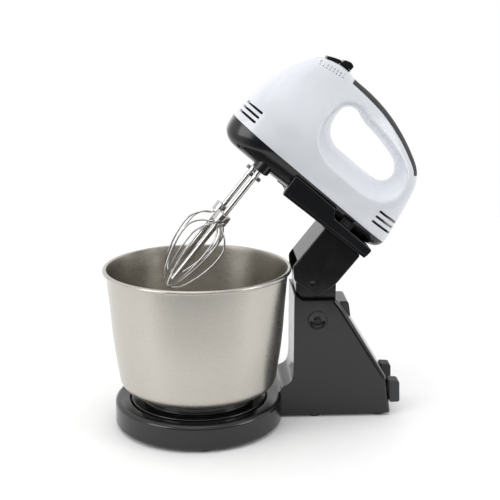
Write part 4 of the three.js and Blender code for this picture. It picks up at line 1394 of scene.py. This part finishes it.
@dataclass
class Whisk(SubAssembly):
    """One chromed whisk: rod, drive wings, sleeve and three wire loops."""

    side: str
    sign: int
    spindle: Point = (-112.0, 23.0)
    rod_radius: float = 2.6
    wire_radius: float = 0.9
    swell: float = 21.7
    sleeve: float = 7.5
    tip: float = -102.5
    rod_end: float = -94.0
    gap: float = 0.35

    def loop_route(self) -> np.ndarray:
        """One loop: out from the sleeve, round the tip and back."""
        half = [(4, -18), (4.7, -25.2), (13.4, -31), (20.4, -40.5), (self.swell, -51), (20, -66), (15.5, -82),
                (8.6, -96)]
        points = [*half, (0, self.tip + 0.9), *[(-r, z) for r, z in reversed(half)]]
        flat = spline(points, steps=8)
        return np.stack([flat[:, 0], np.zeros(len(flat)), flat[:, 1]], axis=1)

    def build(self) -> None:
        """Makes the rod, the sleeve and the wires."""
        place = self.cad.head_frame() @ Matrix.Translation(
            Vector((self.spindle[0], self.sign * self.spindle[1], 0)) * MM)
        chrome, sleeve_radius, r = self.finishes.chrome, self.sleeve, self.rod_radius
        shaft = turned(f"whisk_rod_{self.side}", [
            (0, self.rod_end), (r - 0.8, self.rod_end), (r, self.rod_end + 1), (r, 60), (r - 0.3, 60.6),
            (r - 0.3, 62), (r, 62.6), (r - 0.8, 64), (0, 64),
        ], 40)
        edge = rounded([(-6.4, 29.6, 1), (6.4, 29.6, 1), (6.4, 33.4, 1.5), (-6.4, 33.4, 1.5)], 5)
        wings = [prism("wing", edge, -1, 1, 0.3) for _ in range(2)]
        wings[1].data.transform(Matrix.Rotation(math.pi / 2, 4, "Z"))
        self.dress(fit(shaft, Joinery.JOIN, *wings), place, chrome, f"whisk_shaft_{self.side}")
        sleeve = turned(f"whisk_ferrule_{self.side}", [
            (r + self.gap, -15), (6.9, -15), (6.9, -22.8), (7.2, -22.8), (sleeve_radius, -22.4),
            (sleeve_radius, -20.6), (sleeve_radius - 0.25, -20.2), (sleeve_radius - 0.25, -19.6),
            (sleeve_radius, -19.2), (sleeve_radius, -14.4),
            *arc(sleeve_radius - 1, -14, 1, 0, 90, 5), (r + self.gap, -13),
        ], 64)
        self.dress(sleeve, place, chrome, f"whisk_sleeve_{self.side}")
        hub = turned(f"whisk_loops_{self.side}", [
            (r + self.gap, -22), (5.4, -22), (5.4, -16), (r + self.gap, -16),
        ], 40)
        for i in range(3):
            loop = wire("loop", self.loop_route(), self.wire_radius)
            loop.data.transform(Matrix.Rotation(i * math.pi / 3 + self.sign * math.pi / 12, 4, "Z"))
            fit(hub, Joinery.JOIN, loop)
        self.dress(hub, place, chrome, f"whisk_wires_{self.side}", angle=50)


# ------------------------------------------------------------------ studio


@dataclass
class Studio:
    """Pale floor, white room, soft lights and the camera."""

    azimuth: float = -2.75
    elevation: float = 13.87
    distance: float = 0.930
    lens: float = 71.1
    aim: Vector = field(default_factory=lambda: Vector((-0.01089, 0, 0.16915)))
    floor_radius: float = 760.0
    floor_back: float = 350.0
    dim: float = 0.1  # the room's darkest part
    # Axis of the wall, where the dark ends, where the light begins, and how light it is.
    walls: tuple[tuple[str, float, float, float], ...] = (
        ("Y", 0.05, 0.4, 1.0), ("Z", 0.05, 0.45, 0.93), ("X", -0.7, -0.92, 0.8), ("X", 0.82, 0.96, 0.5),
    )
    # Name, place in metres, length of the side in metres, power in watts.
    lamps: tuple[tuple[str, Point3, float, float], ...] = (
        ("lamp_above", (-0.2, -0.3, 1.5), 1.0, 3.2), ("lamp_left", (-1.4, -0.9, 0.8), 0.9, 7),
        ("lamp_right", (1.5, -0.7, 0.7), 0.7, 5),
    )

    def floor(self, finishes: Finishes) -> None:
        """A plain round table top that ends a little way in front: upright black faces turn dark higher up."""
        turns = np.linspace(0, 2 * math.pi, 96, endpoint=False)
        reach, back = self.floor_radius, self.floor_back
        points = np.stack([reach * np.cos(turns), back + reach * np.sin(turns), 0 * turns], axis=1)
        floor = mesh_piece("studio_floor", points, [tuple(range(96))])
        material = MouldedPlastic("floor_painted_white", "#FBFBFB", 0.6, ripple_height_mm=0.0001).build()
        finishes.paint(floor, material)

    def lamp(self, name: str, place: Vector, size: float, power: float) -> None:
        """A soft square lamp that faces the mixer.

        Args:
            name: the lamp's name.
            place: where it hangs.
            size: length of its side in metres.
            power: its power in watts.
        """
        light = bpy.data.lights.new(name, "AREA")
        light.shape, light.size, light.energy = "SQUARE", size, power
        lamp = bpy.data.objects.new(name, light)
        lamp.location = place
        lamp.rotation_euler = (Vector((0, 0, 0.15)) - place).to_track_quat("-Z", "Y").to_euler()
        bpy.context.scene.collection.objects.link(lamp)

    def camera(self) -> None:
        """The camera, turned to the object's viewing angle."""
        azimuth, elevation = math.radians(self.azimuth), math.radians(self.elevation)
        away = Vector((math.sin(azimuth) * math.cos(elevation), -math.cos(azimuth) * math.cos(elevation),
                       math.sin(elevation)))
        data = bpy.data.cameras.new("camera")
        data.lens, data.sensor_width = self.lens, 36.0
        camera = bpy.data.objects.new("camera", data)
        camera.location = self.aim + away * self.distance
        camera.rotation_euler = (-away).to_track_quat("-Z", "Y").to_euler()
        bpy.context.scene.collection.objects.link(camera)
        bpy.context.scene.camera = camera

    def room(self) -> None:
        """A room that looks white, but lights the mixer fully only from behind and above."""
        world = bpy.data.worlds.new("white_room")
        world.use_nodes = True
        tree = world.node_tree
        coordinates = add_node(tree, "ShaderNodeTexCoord", {}, {})
        split = add_node(tree, "ShaderNodeSeparateXYZ", {}, {"Vector": coordinates.outputs["Generated"]})
        total = None
        for axis, dark, light, amount in self.walls:
            settings = {"interpolation_type": "SMOOTHSTEP", "From Min": dark, "From Max": light,
                        "To Max": amount}
            ramp = add_node(tree, "ShaderNodeMapRange", settings, {"Value": split.outputs[axis]})
            if total is None:
                total = ramp.outputs["Result"]
                continue
            total = add_node(tree, "ShaderNodeMath", {"operation": "ADD"},
                             {0: total, 1: ramp.outputs["Result"]}).outputs["Value"]
        settings = {"From Min": 0.0, "From Max": 1.0, "To Min": self.dim, "To Max": 1.0}
        level = add_node(tree, "ShaderNodeMapRange", settings, {"Value": total})
        seen = add_node(tree, "ShaderNodeLightPath", {}, {})
        strength = add_node(tree, "ShaderNodeMath", {"operation": "MAXIMUM"},
                            {0: level.outputs["Result"], 1: seen.outputs["Is Camera Ray"]})
        tree.links.new(strength.outputs["Value"], tree.nodes["Background"].inputs["Strength"])
        tree.nodes["Background"].inputs["Color"].default_value = (1, 1, 1, 1)
        bpy.context.scene.world = world

    def build(self, finishes: Finishes) -> None:
        """Sets up floor, room, lamps and camera."""
        self.floor(finishes)
        self.room()
        for name, place, size, power in self.lamps:
            self.lamp(name, Vector(place), size, power)
        self.camera()
        bpy.context.scene.view_settings.view_transform = "Standard"


def dress_hidden_nodes(cad: Cad, finishes: Finishes) -> None:
    """Gives every CAD node that stays shown its material and smooth shading.

    Args:
        cad: the record's facts.
        finishes: the materials.
    """
    for name, node in frame["nodes"].items():
        if node.hide_render:
            continue
        finishes.paint(node, finishes.by_slot[cad.slot[name]])
        node.data.shade_smooth()
        node.data.set_sharp_from_angle(angle=math.radians(35))
        log.info("%s is shown as it is", name)


def main() -> None:
    """Builds the mixer piece by piece, then the studio."""
    logging.basicConfig(level=logging.INFO, format="%(message)s")
    cad = Cad(frame["record"])
    finishes = Finishes()
    Studio().build(finishes)
    Stand(cad, finishes).build()
    BowlSet(cad, finishes).build()
    body = MixerBody(cad, finishes)
    body.build()
    Arm(cad, finishes, body).build()
    for side, sign in (("near", -1), ("far", 1)):
        Whisk(cad, finishes, side, sign).build()
    dress_hidden_nodes(cad, finishes)


if __name__ == "__main__":
    main()
